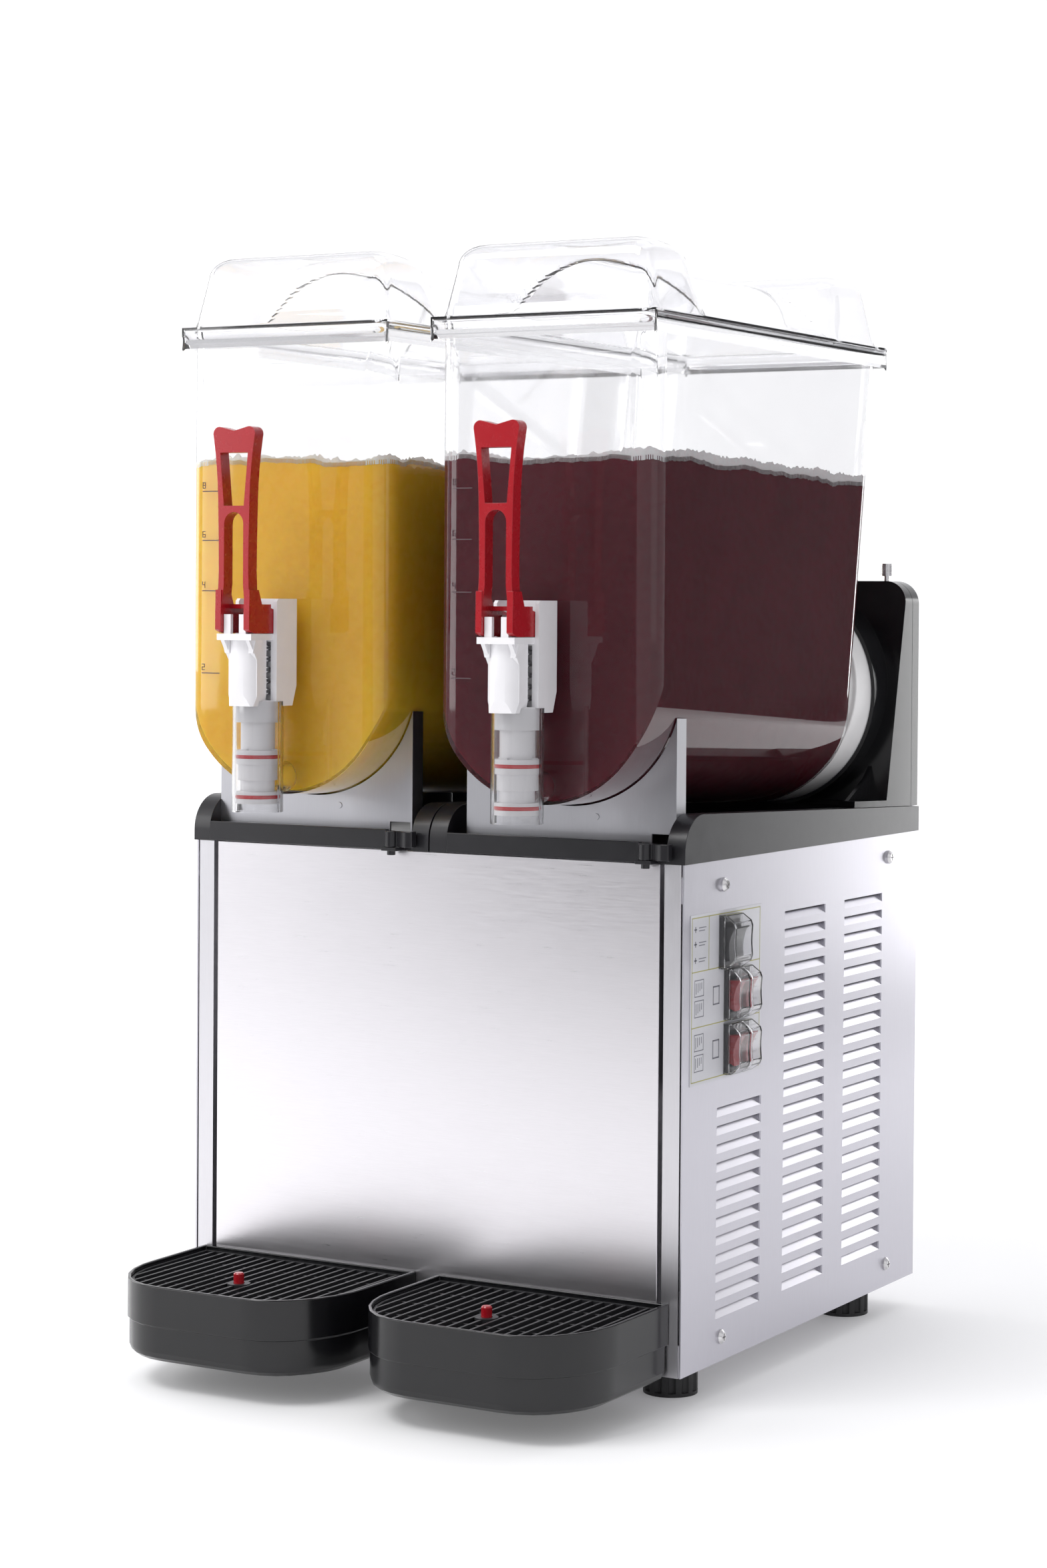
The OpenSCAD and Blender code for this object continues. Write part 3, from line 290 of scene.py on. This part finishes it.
def bevel(obj, width_mm, degrees=38, segments=2):
    b = obj.modifiers.new("edge", "BEVEL")
    b.width, b.segments, b.limit_method = width_mm * MM, segments, "ANGLE"
    b.angle_limit, b.use_clamp_overlap = math.radians(degrees), True
    w = obj.modifiers.new("normals", "WEIGHTED_NORMAL")
    w.keep_sharp, w.weight = True, 50


def refined(node, width_mm, degrees=38, segments=2):
    """A copy of a CAD node with joined flat faces and rounded edges, shown instead of it."""
    source = frame["nodes"][node]
    mesh = source.data.copy()
    mesh.name = node + "_look"
    mesh.transform(source.matrix_world)
    if mesh.attributes.get("custom_normal"):
        mesh.attributes.remove(mesh.attributes["custom_normal"])
    bm = bmesh.new()
    bm.from_mesh(mesh)
    bmesh.ops.remove_doubles(bm, verts=bm.verts, dist=2e-6)
    bmesh.ops.dissolve_limit(bm, angle_limit=math.radians(0.6), verts=bm.verts, edges=bm.edges)
    bm.to_mesh(mesh)
    bm.free()
    smooth(mesh, 24)
    obj = add(node + "_look", mesh, material=by_node.get(node, by_slot[slots[node]]), stands_for=node)
    if width_mm:
        bevel(obj, width_mm, degrees, segments)
    return obj


for name, obj in frame["nodes"].items():
    paint(obj, by_node.get(name, by_slot[slots[name]]))

EDGES = {
    "front_panel": 0.35, "side_panel_left": 0.25, "side_panel_right": 0.25, "deck_mouldings": 1.0,
    "tower_housing": 1.2, "tower_rear_cover": 1.0, "cradle_plates": 0.35, "front_bars": 0.5,
    "latch_left": 0.5, "latch_right": 0.5, "tap_housing_left": 0.6, "tap_housing_right": 0.6,
    "piston_left": 0.4, "piston_right": 0.4, "lever_left": 0.9, "lever_right": 0.9,
    "drip_tray_left": 0.8, "drip_tray_right": 0.8, "grid_left": 0.3, "grid_right": 0.3,
    "float_left": 0.4, "float_right": 0.4, "foot_front_left": 0.5, "foot_front_right": 0.5,
    "foot_rear_left": 0.5, "foot_rear_right": 0.5, "switch_bodies": 0.4, "rocker_main": 0.5,
    "rocker_upper_left": 0.4, "rocker_upper_right": 0.4, "rocker_lower_left": 0.4,
    "rocker_lower_right": 0.4, "tank_gaskets": 0.8,
    "case_screws": 0.2, "cord_inlet": 0.5, "switch_boots": 0.3, "compressor": 1.0, "evaporators": 0.6,
}
for name, width in EDGES.items():
    refined(name, width)


def grid_mesh(name, xs, ys, z):
    """A sheet over the grid xs by ys with height z[i, j], all in millimetres of the case's frame."""
    nx, ny = len(xs), len(ys)
    verts = [at(xs[i], ys[j], z[i, j]) for i in range(nx) for j in range(ny)]
    faces = [
        (i * ny + j, (i + 1) * ny + j, (i + 1) * ny + j + 1, i * ny + j + 1)
        for i in range(nx - 1)
        for j in range(ny - 1)
    ]
    mesh = bpy.data.meshes.new(name)
    mesh.from_pydata(verts, [], faces)
    mesh.update()
    return mesh


# Lid: a moulded sheet, two domes and a vault between them.
LID_RIM, DOME_H, VAULT_H = 718.7, 50.8, 43.5


def shoulder(d, run, h, r):
    """Height of a leaning wall d inside its foot: straight up to h - r over run, then a round shoulder."""
    t = np.clip(d / run, 0, 1)
    s = np.clip((d - run) / r, 0, 1)
    return np.where(d < run, t * (h - r), (h - r) + r * np.sqrt(np.clip(1 - (1 - s) ** 2, 0, 1)))


def soft_min(a, b, k):
    h = np.clip(0.5 + 0.5 * (b - a) / k, 0, 1)
    return b * (1 - h) + a * h - k * h * (1 - h)


def lid_height(x, y):
    sides = 82 - np.abs(x)
    front = soft_min(soft_min(sides, y - (TANK_Y + 2), 9), (60 - y) * 0.42, 9)
    rear = soft_min(soft_min(sides, 344.5 - y, 9), (y - 248) * 0.40, 9)
    vault = np.where((y > 4) & (y < 310), VAULT_H * (1 - (x / 82) ** 2), 0)
    h = np.maximum(shoulder(front, 6.5, DOME_H, 15), shoulder(rear, 6.5, DOME_H, 15))
    return np.maximum(np.maximum(h, vault), 0)


def lid(side):
    node = "lid_" + side
    a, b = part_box(node)
    cx = SIDES[side] * TANK_X
    y0, y1 = (a[1] - origin[1]) / MM, (b[1] - origin[1]) / MM
    half = (b[0] - a[0]) / 2 / MM
    step = 1.7
    xs = np.concatenate([[-half], np.arange(-half, half, step), [half, half]])
    ys = np.concatenate([[y0], np.arange(y0, y1, step), [y1, y1]])
    gx, gy = np.meshgrid(xs, ys, indexing="ij")
    gz = LID_RIM + lid_height(gx, gy)
    gz[0, :] = gz[-1, :] = LID_RIM - 15.2
    gz[:, 0] = gz[:, -1] = LID_RIM - 15.2
    mesh = grid_mesh(node + "_look", xs + cx, ys, gz)
    smooth(mesh, 38)
    obj = add(node + "_look", mesh, material=clear_lid, stands_for=node)
    s = obj.modifiers.new("wall", "SOLIDIFY")
    s.thickness, s.offset, s.use_even_offset = 2.0 * MM, -1, False
    return obj


for side in SIDES:
    lid(side)


# ------------------------------------------------------------------ drink
def solid(name, build):
    bm = bmesh.new()
    build(bm)
    bmesh.ops.recalc_face_normals(bm, faces=bm.faces)
    mesh = bpy.data.meshes.new(name)
    bm.to_mesh(mesh)
    bm.free()
    obj = bpy.data.objects.new(name, mesh)
    bpy.context.collection.objects.link(obj)
    return obj


def prism(bm, outline, lower, upper):
    """A prism whose outline points go through lower() and upper() to its two ends."""
    a = [bm.verts.new(lower(p)) for p in outline]
    b = [bm.verts.new(upper(p)) for p in outline]
    n = len(outline)
    bm.faces.new(list(reversed(a)))
    bm.faces.new(b)
    for i in range(n):
        bm.faces.new((a[i], a[(i + 1) % n], b[(i + 1) % n], b[i]))


def cut(a, b, operation):
    """Boolean a with b, and b goes."""
    m = a.modifiers.new("cut", "BOOLEAN")
    m.object, m.operation, m.solver = b, operation, "EXACT"
    bpy.context.view_layer.update()
    mesh = bpy.data.meshes.new_from_object(a.evaluated_get(bpy.context.evaluated_depsgraph_get()))
    a.modifiers.clear()
    a.data = mesh
    bpy.data.objects.remove(b)
    return a


def on_axis(cx, s, u, v):
    """A point s along the bowl's axis, u across it and v above it."""
    y = TANK_Y + s * math.cos(TILT) + v * math.sin(TILT)
    z = AXIS_Z - s * math.sin(TILT) + v * math.cos(TILT)
    return at(cx + u, y, z)


def ring(r, n=72):
    return [(r * math.cos(2 * math.pi * i / n), r * math.sin(2 * math.pi * i / n)) for i in range(n)]


def surface(x, y, seed):
    """Height of the drink's top, in millimetres."""
    slope = 621.5 - 0.021 * (y - TANK_Y)
    big = noise.noise(Vector((x * 0.02 + seed, y * 0.02, 0))) * 3.0
    mid = noise.noise(Vector((x * 0.09 + seed, y * 0.09, 3))) * 1.6
    fine = noise.noise(Vector((x * 0.4 + seed, y * 0.4, 7))) * 0.9
    return slope + big + mid + fine


def drink(side):
    cx, seed = SIDES[side] * TANK_X, 3.7 if side == "left" else 11.2
    r, rc = INNER_R + OVERLAP, INNER_CORNER + OVERLAP
    y_front = TANK_Y + WALL - OVERLAP
    lean = math.tan(math.radians(REAR_LEAN))
    back0 = REAR_TOP - REAR_WALL + OVERLAP

    def bowl(bm):
        u = [(r * math.sin(math.radians(a)), -r * math.cos(math.radians(a))) for a in range(-90, 91, 3)]
        outline = u + [(r, 300), (-r, 300)]
        prism(bm, outline, lambda p: on_axis(cx, -30, *p), lambda p: on_axis(cx, 420, *p))

    def front(bm):
        arc = [
            (r - rc + rc * math.sin(math.radians(a)), y_front + rc - rc * math.cos(math.radians(a)))
            for a in range(0, 91, 6)
        ]
        outline = arc + [(r, 600), (-r, 600)] + [(-x, y) for x, y in reversed(arc)]
        prism(bm, outline, lambda p: at(cx + p[0], p[1], 300), lambda p: at(cx + p[0], p[1], 760))

    def rear(bm):
        arc = [
            (r - rc + rc * math.cos(math.radians(a)), -rc + rc * math.sin(math.radians(a)))
            for a in range(0, 91, 6)
        ]
        outline = [(r, -500)] + arc + [(-x, y) for x, y in reversed(arc)] + [(-r, -500)]
        low_y, high_y = back0 - 416 * lean, back0 + 44 * lean
        prism(bm, outline, lambda p: at(cx + p[0], low_y + p[1], 300), lambda p: at(cx + p[0], high_y + p[1], 760))

    def top(bm):
        step = 2.6
        xs, ys = np.arange(-90, 91, step), np.arange(-40, 360, step)
        nx, ny = len(xs), len(ys)
        up = [[bm.verts.new(at(cx + x, y, surface(x, y, seed))) for y in ys] for x in xs]
        low = [[bm.verts.new(at(cx + x, y, 340)) for y in ys] for x in xs]
        for i in range(nx - 1):
            for j in range(ny - 1):
                bm.faces.new((up[i][j], up[i + 1][j], up[i + 1][j + 1], up[i][j + 1]))
        for i in range(nx - 1):
            bm.faces.new((low[i][0], low[i + 1][0], up[i + 1][0], up[i][0]))
            bm.faces.new((up[i][-1], up[i + 1][-1], low[i + 1][-1], low[i][-1]))
        for j in range(ny - 1):
            bm.faces.new((up[0][j], up[0][j + 1], low[0][j + 1], low[0][j]))
            bm.faces.new((low[-1][j], low[-1][j + 1], up[-1][j + 1], up[-1][j]))
        rim = [low[i][0] for i in range(nx)] + [low[-1][j] for j in range(1, ny)]
        rim += [low[i][-1] for i in range(nx - 2, -1, -1)] + [low[0][j] for j in range(ny - 2, 0, -1)]
        bm.faces.new(list(reversed(rim)))

    obj = solid("drink_" + side, bowl)
    cut(obj, solid("front", front), "INTERSECT")
    cut(obj, solid("rear", rear), "INTERSECT")
    cut(obj, solid("top", top), "INTERSECT")
    # Room for the auger, and for its hub in front.
    for name, outline, s0, s1 in (("room", ring(79.8), 24, 420), ("hub", ring(15.6, 32), 7, 30)):

        def bore(bm, outline=outline, s0=s0, s1=s1):
            prism(bm, outline, lambda p: on_axis(cx, s0, *p), lambda p: on_axis(cx, s1, *p))

        cut(obj, solid(name, bore), "DIFFERENCE")
    mesh = obj.data
    bpy.data.objects.remove(obj)
    smooth(mesh, 40)
    add("drink_" + side, mesh, material=drinks[side], body="tank_" + side)

    # Frost that clings to the wall above the drink.
    verts, faces = [], []
    y_f, y_b = y_front, back0 - 95 * lean
    loop = []
    n_side = 150
    for i in range(n_side):
        t = i / n_side
        loop.append((r, y_f + rc + (y_b - rc - y_f - rc) * t))
    for a in range(0, 91, 5):
        loop.append((r - rc + rc * math.cos(math.radians(a)), y_b - rc + rc * math.sin(math.radians(a))))
    for i in range(1, 70):
        loop.append((r - rc - (2 * (r - rc)) * i / 70, y_b))
    for a in range(90, 181, 5):
        loop.append((-(r - rc) + rc * math.cos(math.radians(a)), y_b - rc + rc * math.sin(math.radians(a))))
    for i in range(n_side):
        t = i / n_side
        loop.append((-r, y_b - rc - (y_b - rc - y_f - rc) * t))
    for a in range(180, 271, 5):
        loop.append((-(r - rc) + rc * math.cos(math.radians(a)), y_f + rc + rc * math.sin(math.radians(a))))
    for i in range(1, 70):
        loop.append((-(r - rc) + (2 * (r - rc)) * i / 70, y_f))
    for a in range(270, 361, 5):
        loop.append((r - rc + rc * math.cos(math.radians(a)), y_f + rc + rc * math.sin(math.radians(a))))
    n = len(loop)
    for k, (x, y) in enumerate(loop):
        base = surface(x, y, seed)
        grow = 1.0 + 3.2 * max(0.0, noise.noise(Vector((x * 0.03 + seed, y * 0.03, 1))) + 0.35)
        grow += 2.2 * noise.noise(Vector((x * 0.35 + seed, y * 0.35, 5)))
        grow += 3.0 if side == "right" and x > 60 else 0.0
        inward = Vector((-x, (y_f + y_b) / 2 - y)).normalized()
        inward *= 1.0 + 0.5 * noise.noise(Vector((x, y, seed)))
        top_z = base + max(0.8, grow)
        verts += [
            at(cx + x, y, base - 3),
            at(cx + x, y, top_z),
            at(cx + x + inward[0], y + inward[1], top_z - 0.4),
            at(cx + x + 1.4 * inward[0], y + 1.4 * inward[1], base - 3),
        ]
    for k in range(n):
        q = (k + 1) % n
        for c in range(4):
            d = (c + 1) % 4
            faces.append((4 * k + c, 4 * k + d, 4 * q + d, 4 * q + c))
    mesh = bpy.data.meshes.new("frost_" + side)
    mesh.from_pydata(verts, [], faces)
    mesh.update()
    smooth(mesh, 60)
    add("frost_" + side, mesh, material=frosts[side], body="tank_" + side)


for side in SIDES:
    drink(side)


# ------------------------------------------------------------------ augers and springs
def auger(side):
    cx = SIDES[side] * TANK_X
    hand = SIDES[side]
    steps, turns, s0, length = (64), 3.5, 30.0, 252.0
    section = [(59.3, 0.3), (59.3, 4.7), (77.5, 4.9), (78.9, 3.9), (78.9, 1.1), (77.5, 0.1)]
    rings = []
    bm = bmesh.new()
    for i in range(int(steps * turns) + 1):
        a = 2 * math.pi * i / steps
        s = s0 + length * i / (steps * turns)
        points = [on_axis(cx, s + t, hand * r * math.cos(a), -r * math.sin(a)) for r, t in section]
        rings.append([bm.verts.new(p) for p in points])
    for p, q in zip(rings, rings[1:]):
        for c in range(len(section)):
            d = (c + 1) % len(section)
            bm.faces.new((p[c], p[d], q[d], q[c]))
    bm.faces.new(rings[0])
    bm.faces.new(list(reversed(rings[-1])))
    for b in (0, 1, 2):
        turn = b * 2 * math.pi / 3
        c, w = Vector((math.cos(turn), math.sin(turn))), Vector((-math.sin(turn), math.cos(turn))) * 3.9
        outline = [c * 13 + w, c * 73 + w, c * 73 - w, c * 13 - w]
        prism(bm, outline, lambda p: on_axis(cx, 26.3, *p), lambda p: on_axis(cx, 31.7, *p))
    for r0, r1, sa, sb in ((63, 76.5, 26, 32), (6.1, 14.8, 12.2, 32)):
        outer, inner = ring(r1, 96), ring(r0, 96)
        loops = ((sa, inner), (sa, outer), (sb, outer), (sb, inner))
        v = [[bm.verts.new(on_axis(cx, s, *p)) for p in o] for s, o in loops]
        for i in range(96):
            j = (i + 1) % 96
            for k in range(4):
                m = (k + 1) % 4
                bm.faces.new((v[k][i], v[k][j], v[m][j], v[m][i]))
    bmesh.ops.recalc_face_normals(bm, faces=bm.faces)
    mesh = bpy.data.meshes.new("auger_look_" + side)
    bm.to_mesh(mesh)
    bm.free()
    smooth(mesh, 35)
    add("auger_look_" + side, mesh, material=white, stands_for="auger_" + side)


def spring(side):
    node = "tap_spring_" + side
    a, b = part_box(node)
    cx, cy = (a[0] + b[0]) / 2, at(0, -61, 0)[1]
    turns, wire = 5.5, 0.9 * MM
    radius = (b[0] - a[0]) / 2 - wire
    steps, k = 40, 10
    verts, faces = [], []
    n = int(turns * steps)
    for i in range(n + 1):
        t = 2 * math.pi * i / steps
        z = a[2] + wire + (b[2] - a[2] - 2 * wire) * i / n
        for j in range(k):
            q = 2 * math.pi * j / k
            rr = radius + wire * math.cos(q)
            verts.append((cx + rr * math.cos(t), cy + rr * math.sin(t), z + wire * math.sin(q)))
    for i in range(n):
        for j in range(k):
            m = (j + 1) % k
            faces.append((i * k + j, i * k + m, (i + 1) * k + m, (i + 1) * k + j))
    faces += [tuple(range(k - 1, -1, -1)), tuple(n * k + j for j in range(k))]
    mesh = bpy.data.meshes.new(node + "_look")
    mesh.from_pydata(verts, [], faces)
    mesh.update()
    smooth(mesh, 60)
    obj = add(node + "_look", mesh, material=wire_steel, stands_for=node)
    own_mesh(obj)


for side in SIDES:
    auger(side)
    spring(side)


# ------------------------------------------------------------------ marks and label
def bar(bm, a, b):
    """A box between two points of the case's frame, in millimetres."""
    p, q = at(*a), at(*b)
    matrix = Matrix.Translation((p + q) / 2) @ Matrix.Diagonal(Vector([abs(c) for c in (q - p)]).to_4d())
    bmesh.ops.create_cube(bm, size=1.0, matrix=matrix)


def digit(bm, d, x, y, z, w, h, t):
    """A seven-bar digit on the plane y, from its lower left corner."""
    on = {"2": "abged", "4": "fgbc", "6": "afgedc", "8": "abcdefg"}[d]
    m = h / 2
    places = {"a": (0, h - t, w, h), "d": (0, 0, w, t), "g": (0, m - t / 2, w, m + t / 2), "f": (0, m, t, h),
              "b": (w - t, m, w, h), "e": (0, 0, t, m), "c": (w - t, 0, w, m)}
    for s in on:
        x0, z0, x1, z1 = places[s]
        bar(bm, (x + x0, y - 0.12, z + z0), (x + x1, y + 0.02, z + z1))


def marks(side):
    cx = SIDES[side] * TANK_X
    bm = bmesh.new()
    for z, d in ((600.8, "8"), (565.6, "6"), (529.4, "4"), (470.2, "2")):
        x0 = cx - 72
        bar(bm, (x0 + 1.5, TANK_Y - 0.12, z - 0.35), (x0 + 17, TANK_Y + 0.02, z + 0.35))
        digit(bm, d, x0 + 1.5, TANK_Y, z + 2.0, 2.6, 4.6, 0.55)
    mesh = bpy.data.meshes.new("volume_marks_" + side)
    bm.to_mesh(mesh)
    bm.free()
    add("volume_marks_" + side, mesh, material=mark_grey, body="tank_" + side)


for side in SIDES:
    marks(side)


def label():
    x = 200.3

    def strip(bm, y0, z0, y1, z1, t=0.06):
        bar(bm, (x - 0.02, y0, z0), (x + t, y1, z1))

    lines, icons = bmesh.new(), bmesh.new()
    y0, y1, z0, z1 = 11.5, 117.7, 198.0, 310.2
    w = 0.7
    for a in ((y0, z0, y1, z0 + w), (y0, z1 - w, y1, z1), (y0, z0, y0 + w, z1), (y1 - w, z0, y1, z1)):
        strip(lines, *a)
    for z in (272.8, 235.0):
        strip(lines, y0, z, y1, z + w)
    strip(lines, 37, 273, 37 + w, z1)
    for cz in (302, 292, 281):
        strip(icons, 15, cz - 0.5, 19, cz + 0.5, 0.05)
        strip(icons, 16.5, cz - 2, 17.5, cz + 2, 0.05)
        strip(icons, 22, cz + 0.6, 33, cz + 1.2, 0.05)
        strip(icons, 22, cz - 1.4, 31, cz - 0.8, 0.05)
    for base in (240, 203):
        for k in range(2):
            zz = base + 2 + 14 * k
            frame_bars = ((16, zz, 30, zz + 0.6), (16, zz + 11, 30, zz + 11.6))
            frame_bars += ((16, zz, 16.6, zz + 11.6), (29.4, zz, 30, zz + 11.6))
            for a in frame_bars:
                strip(icons, *a, 0.05)
            for j in range(4):
                strip(icons, 18 + j * 2.8, zz + 2 + j, 18.8 + j * 2.8, zz + 9.5, 0.05)
        square_bars = ((44, base + 8, 54, base + 9), (44, base + 20, 54, base + 21))
        square_bars += ((44, base + 8, 45, base + 21), (53, base + 8, 54, base + 21))
        for a in square_bars:
            strip(icons, *a, 0.05)
        for j in range(3):
            strip(icons, 103, base + 6 + j * 8, 112, base + 6.8 + j * 8, 0.05)
    for name, bm, mat in (("label_lines", lines, olive), ("label_icons", icons, print_grey)):
        mesh = bpy.data.meshes.new(name)
        bm.to_mesh(mesh)
        bm.free()
        add(name, mesh, node="control_label", material=mat)


label()

# ------------------------------------------------------------------ stage, light and camera
floor_mat = Mat("studio_white", (0.90, 0.90, 0.905), 0.7).vary_colour(0.006, 0.8).m
floor_mat.node_tree.nodes["Principled BSDF"].inputs["Emission Color"].default_value = (1, 1, 1, 1)
floor_mat.node_tree.nodes["Principled BSDF"].inputs["Emission Strength"].default_value = 0.12


def cyclorama():
    profile = [(-6.0, 0.0), (1.6, 0.0)]
    for a in range(6, 91, 6):
        profile.append((1.6 + 1.2 * math.sin(math.radians(a)), 1.2 - 1.2 * math.cos(math.radians(a))))
    profile += [(2.8, 5.0)]
    verts = [(x, y, z) for y, z in profile for x in (-7.0, 7.0)]
    faces = [(2 * i, 2 * i + 1, 2 * i + 3, 2 * i + 2) for i in range(len(profile) - 1)]
    mesh = bpy.data.meshes.new("cyclorama")
    mesh.from_pydata(verts, [], faces)
    mesh.update()
    mesh.shade_smooth()
    obj = bpy.data.objects.new("cyclorama", mesh)
    bpy.context.collection.objects.link(obj)
    obj.rotation_euler.z = math.radians(29.785)
    paint(obj, floor_mat)


cyclorama()


def softbox(name, place, target, size, power, colour=(1, 1, 1)):
    data = bpy.data.lights.new(name, "AREA")
    data.shape, data.size, data.size_y, data.energy, data.color = "RECTANGLE", *size, power, colour
    obj = bpy.data.objects.new(name, data)
    bpy.context.collection.objects.link(obj)
    obj.location = place
    obj.rotation_euler = (Vector(target) - Vector(place)).to_track_quat("-Z", "Y").to_euler()
    return obj


softbox("key_left", (-1.95, -1.75, 1.15), (0, 0, 0.45), (1.2, 1.6), 18)
softbox("front_high", (-0.7, -1.6, 2.5), (0, 0, 0.4), (1.4, 1.0), 34)
softbox("side_left", (-2.4, 0.2, 1.2), (-0.2, 0, 0.5), (1.2, 1.6), 14)
softbox("fill_right", (2.6, -0.6, 1.5), (0, 0, 0.4), (1.4, 2.2), 3)
softbox("top", (0.1, 0.2, 2.6), (0, 0, 0.3), (2.2, 2.2), 4)
softbox("rim_right", (0.62, 1.75, 0.46), (0.2, 0.25, 0.46), (0.34, 0.75), 4)
softbox("back_wall", (0.4, 1.3, 2.9), (-1.1, 2.6, 0.9), (3.4, 1.0), 22)


def flag(name, low, high):
    """A dark card that is only seen where polished faces mirror it."""
    bm = bmesh.new()
    low, high = Vector(low), Vector(high)
    matrix = Matrix.Translation((low + high) / 2) @ Matrix.Diagonal((high - low).to_4d())
    bmesh.ops.create_cube(bm, size=1.0, matrix=matrix)
    mesh = bpy.data.meshes.new(name)
    bm.to_mesh(mesh)
    bm.free()
    obj = bpy.data.objects.new(name, mesh)
    bpy.context.collection.objects.link(obj)
    paint(obj, Mat("flag_cloth", (0.02, 0.02, 0.022), 0.9).vary_colour(0.2, 4).m)
    obj.visible_camera = obj.visible_transmission = obj.visible_diffuse = obj.visible_shadow = False


flag("flag_front", (-1.15, -2.05, 0.0), (0.35, -2.0, 1.5))
flag("flag_right", (0.85, 1.80, 0.0), (1.75, 1.84, 1.3))

world = bpy.data.worlds.new("studio")
world.use_nodes = True
world.node_tree.nodes["Background"].inputs["Color"].default_value = (0.93, 0.93, 0.96, 1)
world.node_tree.nodes["Background"].inputs["Strength"].default_value = 0.62
bpy.context.scene.world = world

YAW, PITCH, ROLL = math.radians(29.785), math.radians(1.212), math.radians(0.408)
camera = bpy.data.cameras.new("camera")
camera.sensor_fit, camera.sensor_width = "AUTO", 36.0
camera.lens = 73.43
camera.clip_start, camera.clip_end = 0.05, 50
camera.shift_x, camera.shift_y = 0.0, -0.0741
eye = bpy.data.objects.new("camera", camera)
bpy.context.collection.objects.link(eye)
forward = Vector((-math.sin(YAW) * math.cos(PITCH), math.cos(YAW) * math.cos(PITCH), -math.sin(PITCH)))
across = Vector((math.cos(YAW), math.sin(YAW), 0))
above = across.cross(forward)
right = across * math.cos(ROLL) + above * math.sin(ROLL)
up = above * math.cos(ROLL) - across * math.sin(ROLL)
turn = Matrix((right, up, -forward)).transposed().to_4x4()
eye.matrix_world = Matrix.Translation(at(1170.66, -1915.36, 524.22)) @ turn
bpy.context.scene.camera = eye
bpy.context.scene.view_settings.view_transform = "Standard"
bpy.context.scene.cycles.transparent_max_bounces = 16
bpy.context.scene.cycles.max_bounces = 16
bpy.context.scene.cycles.transmission_bounces = 14
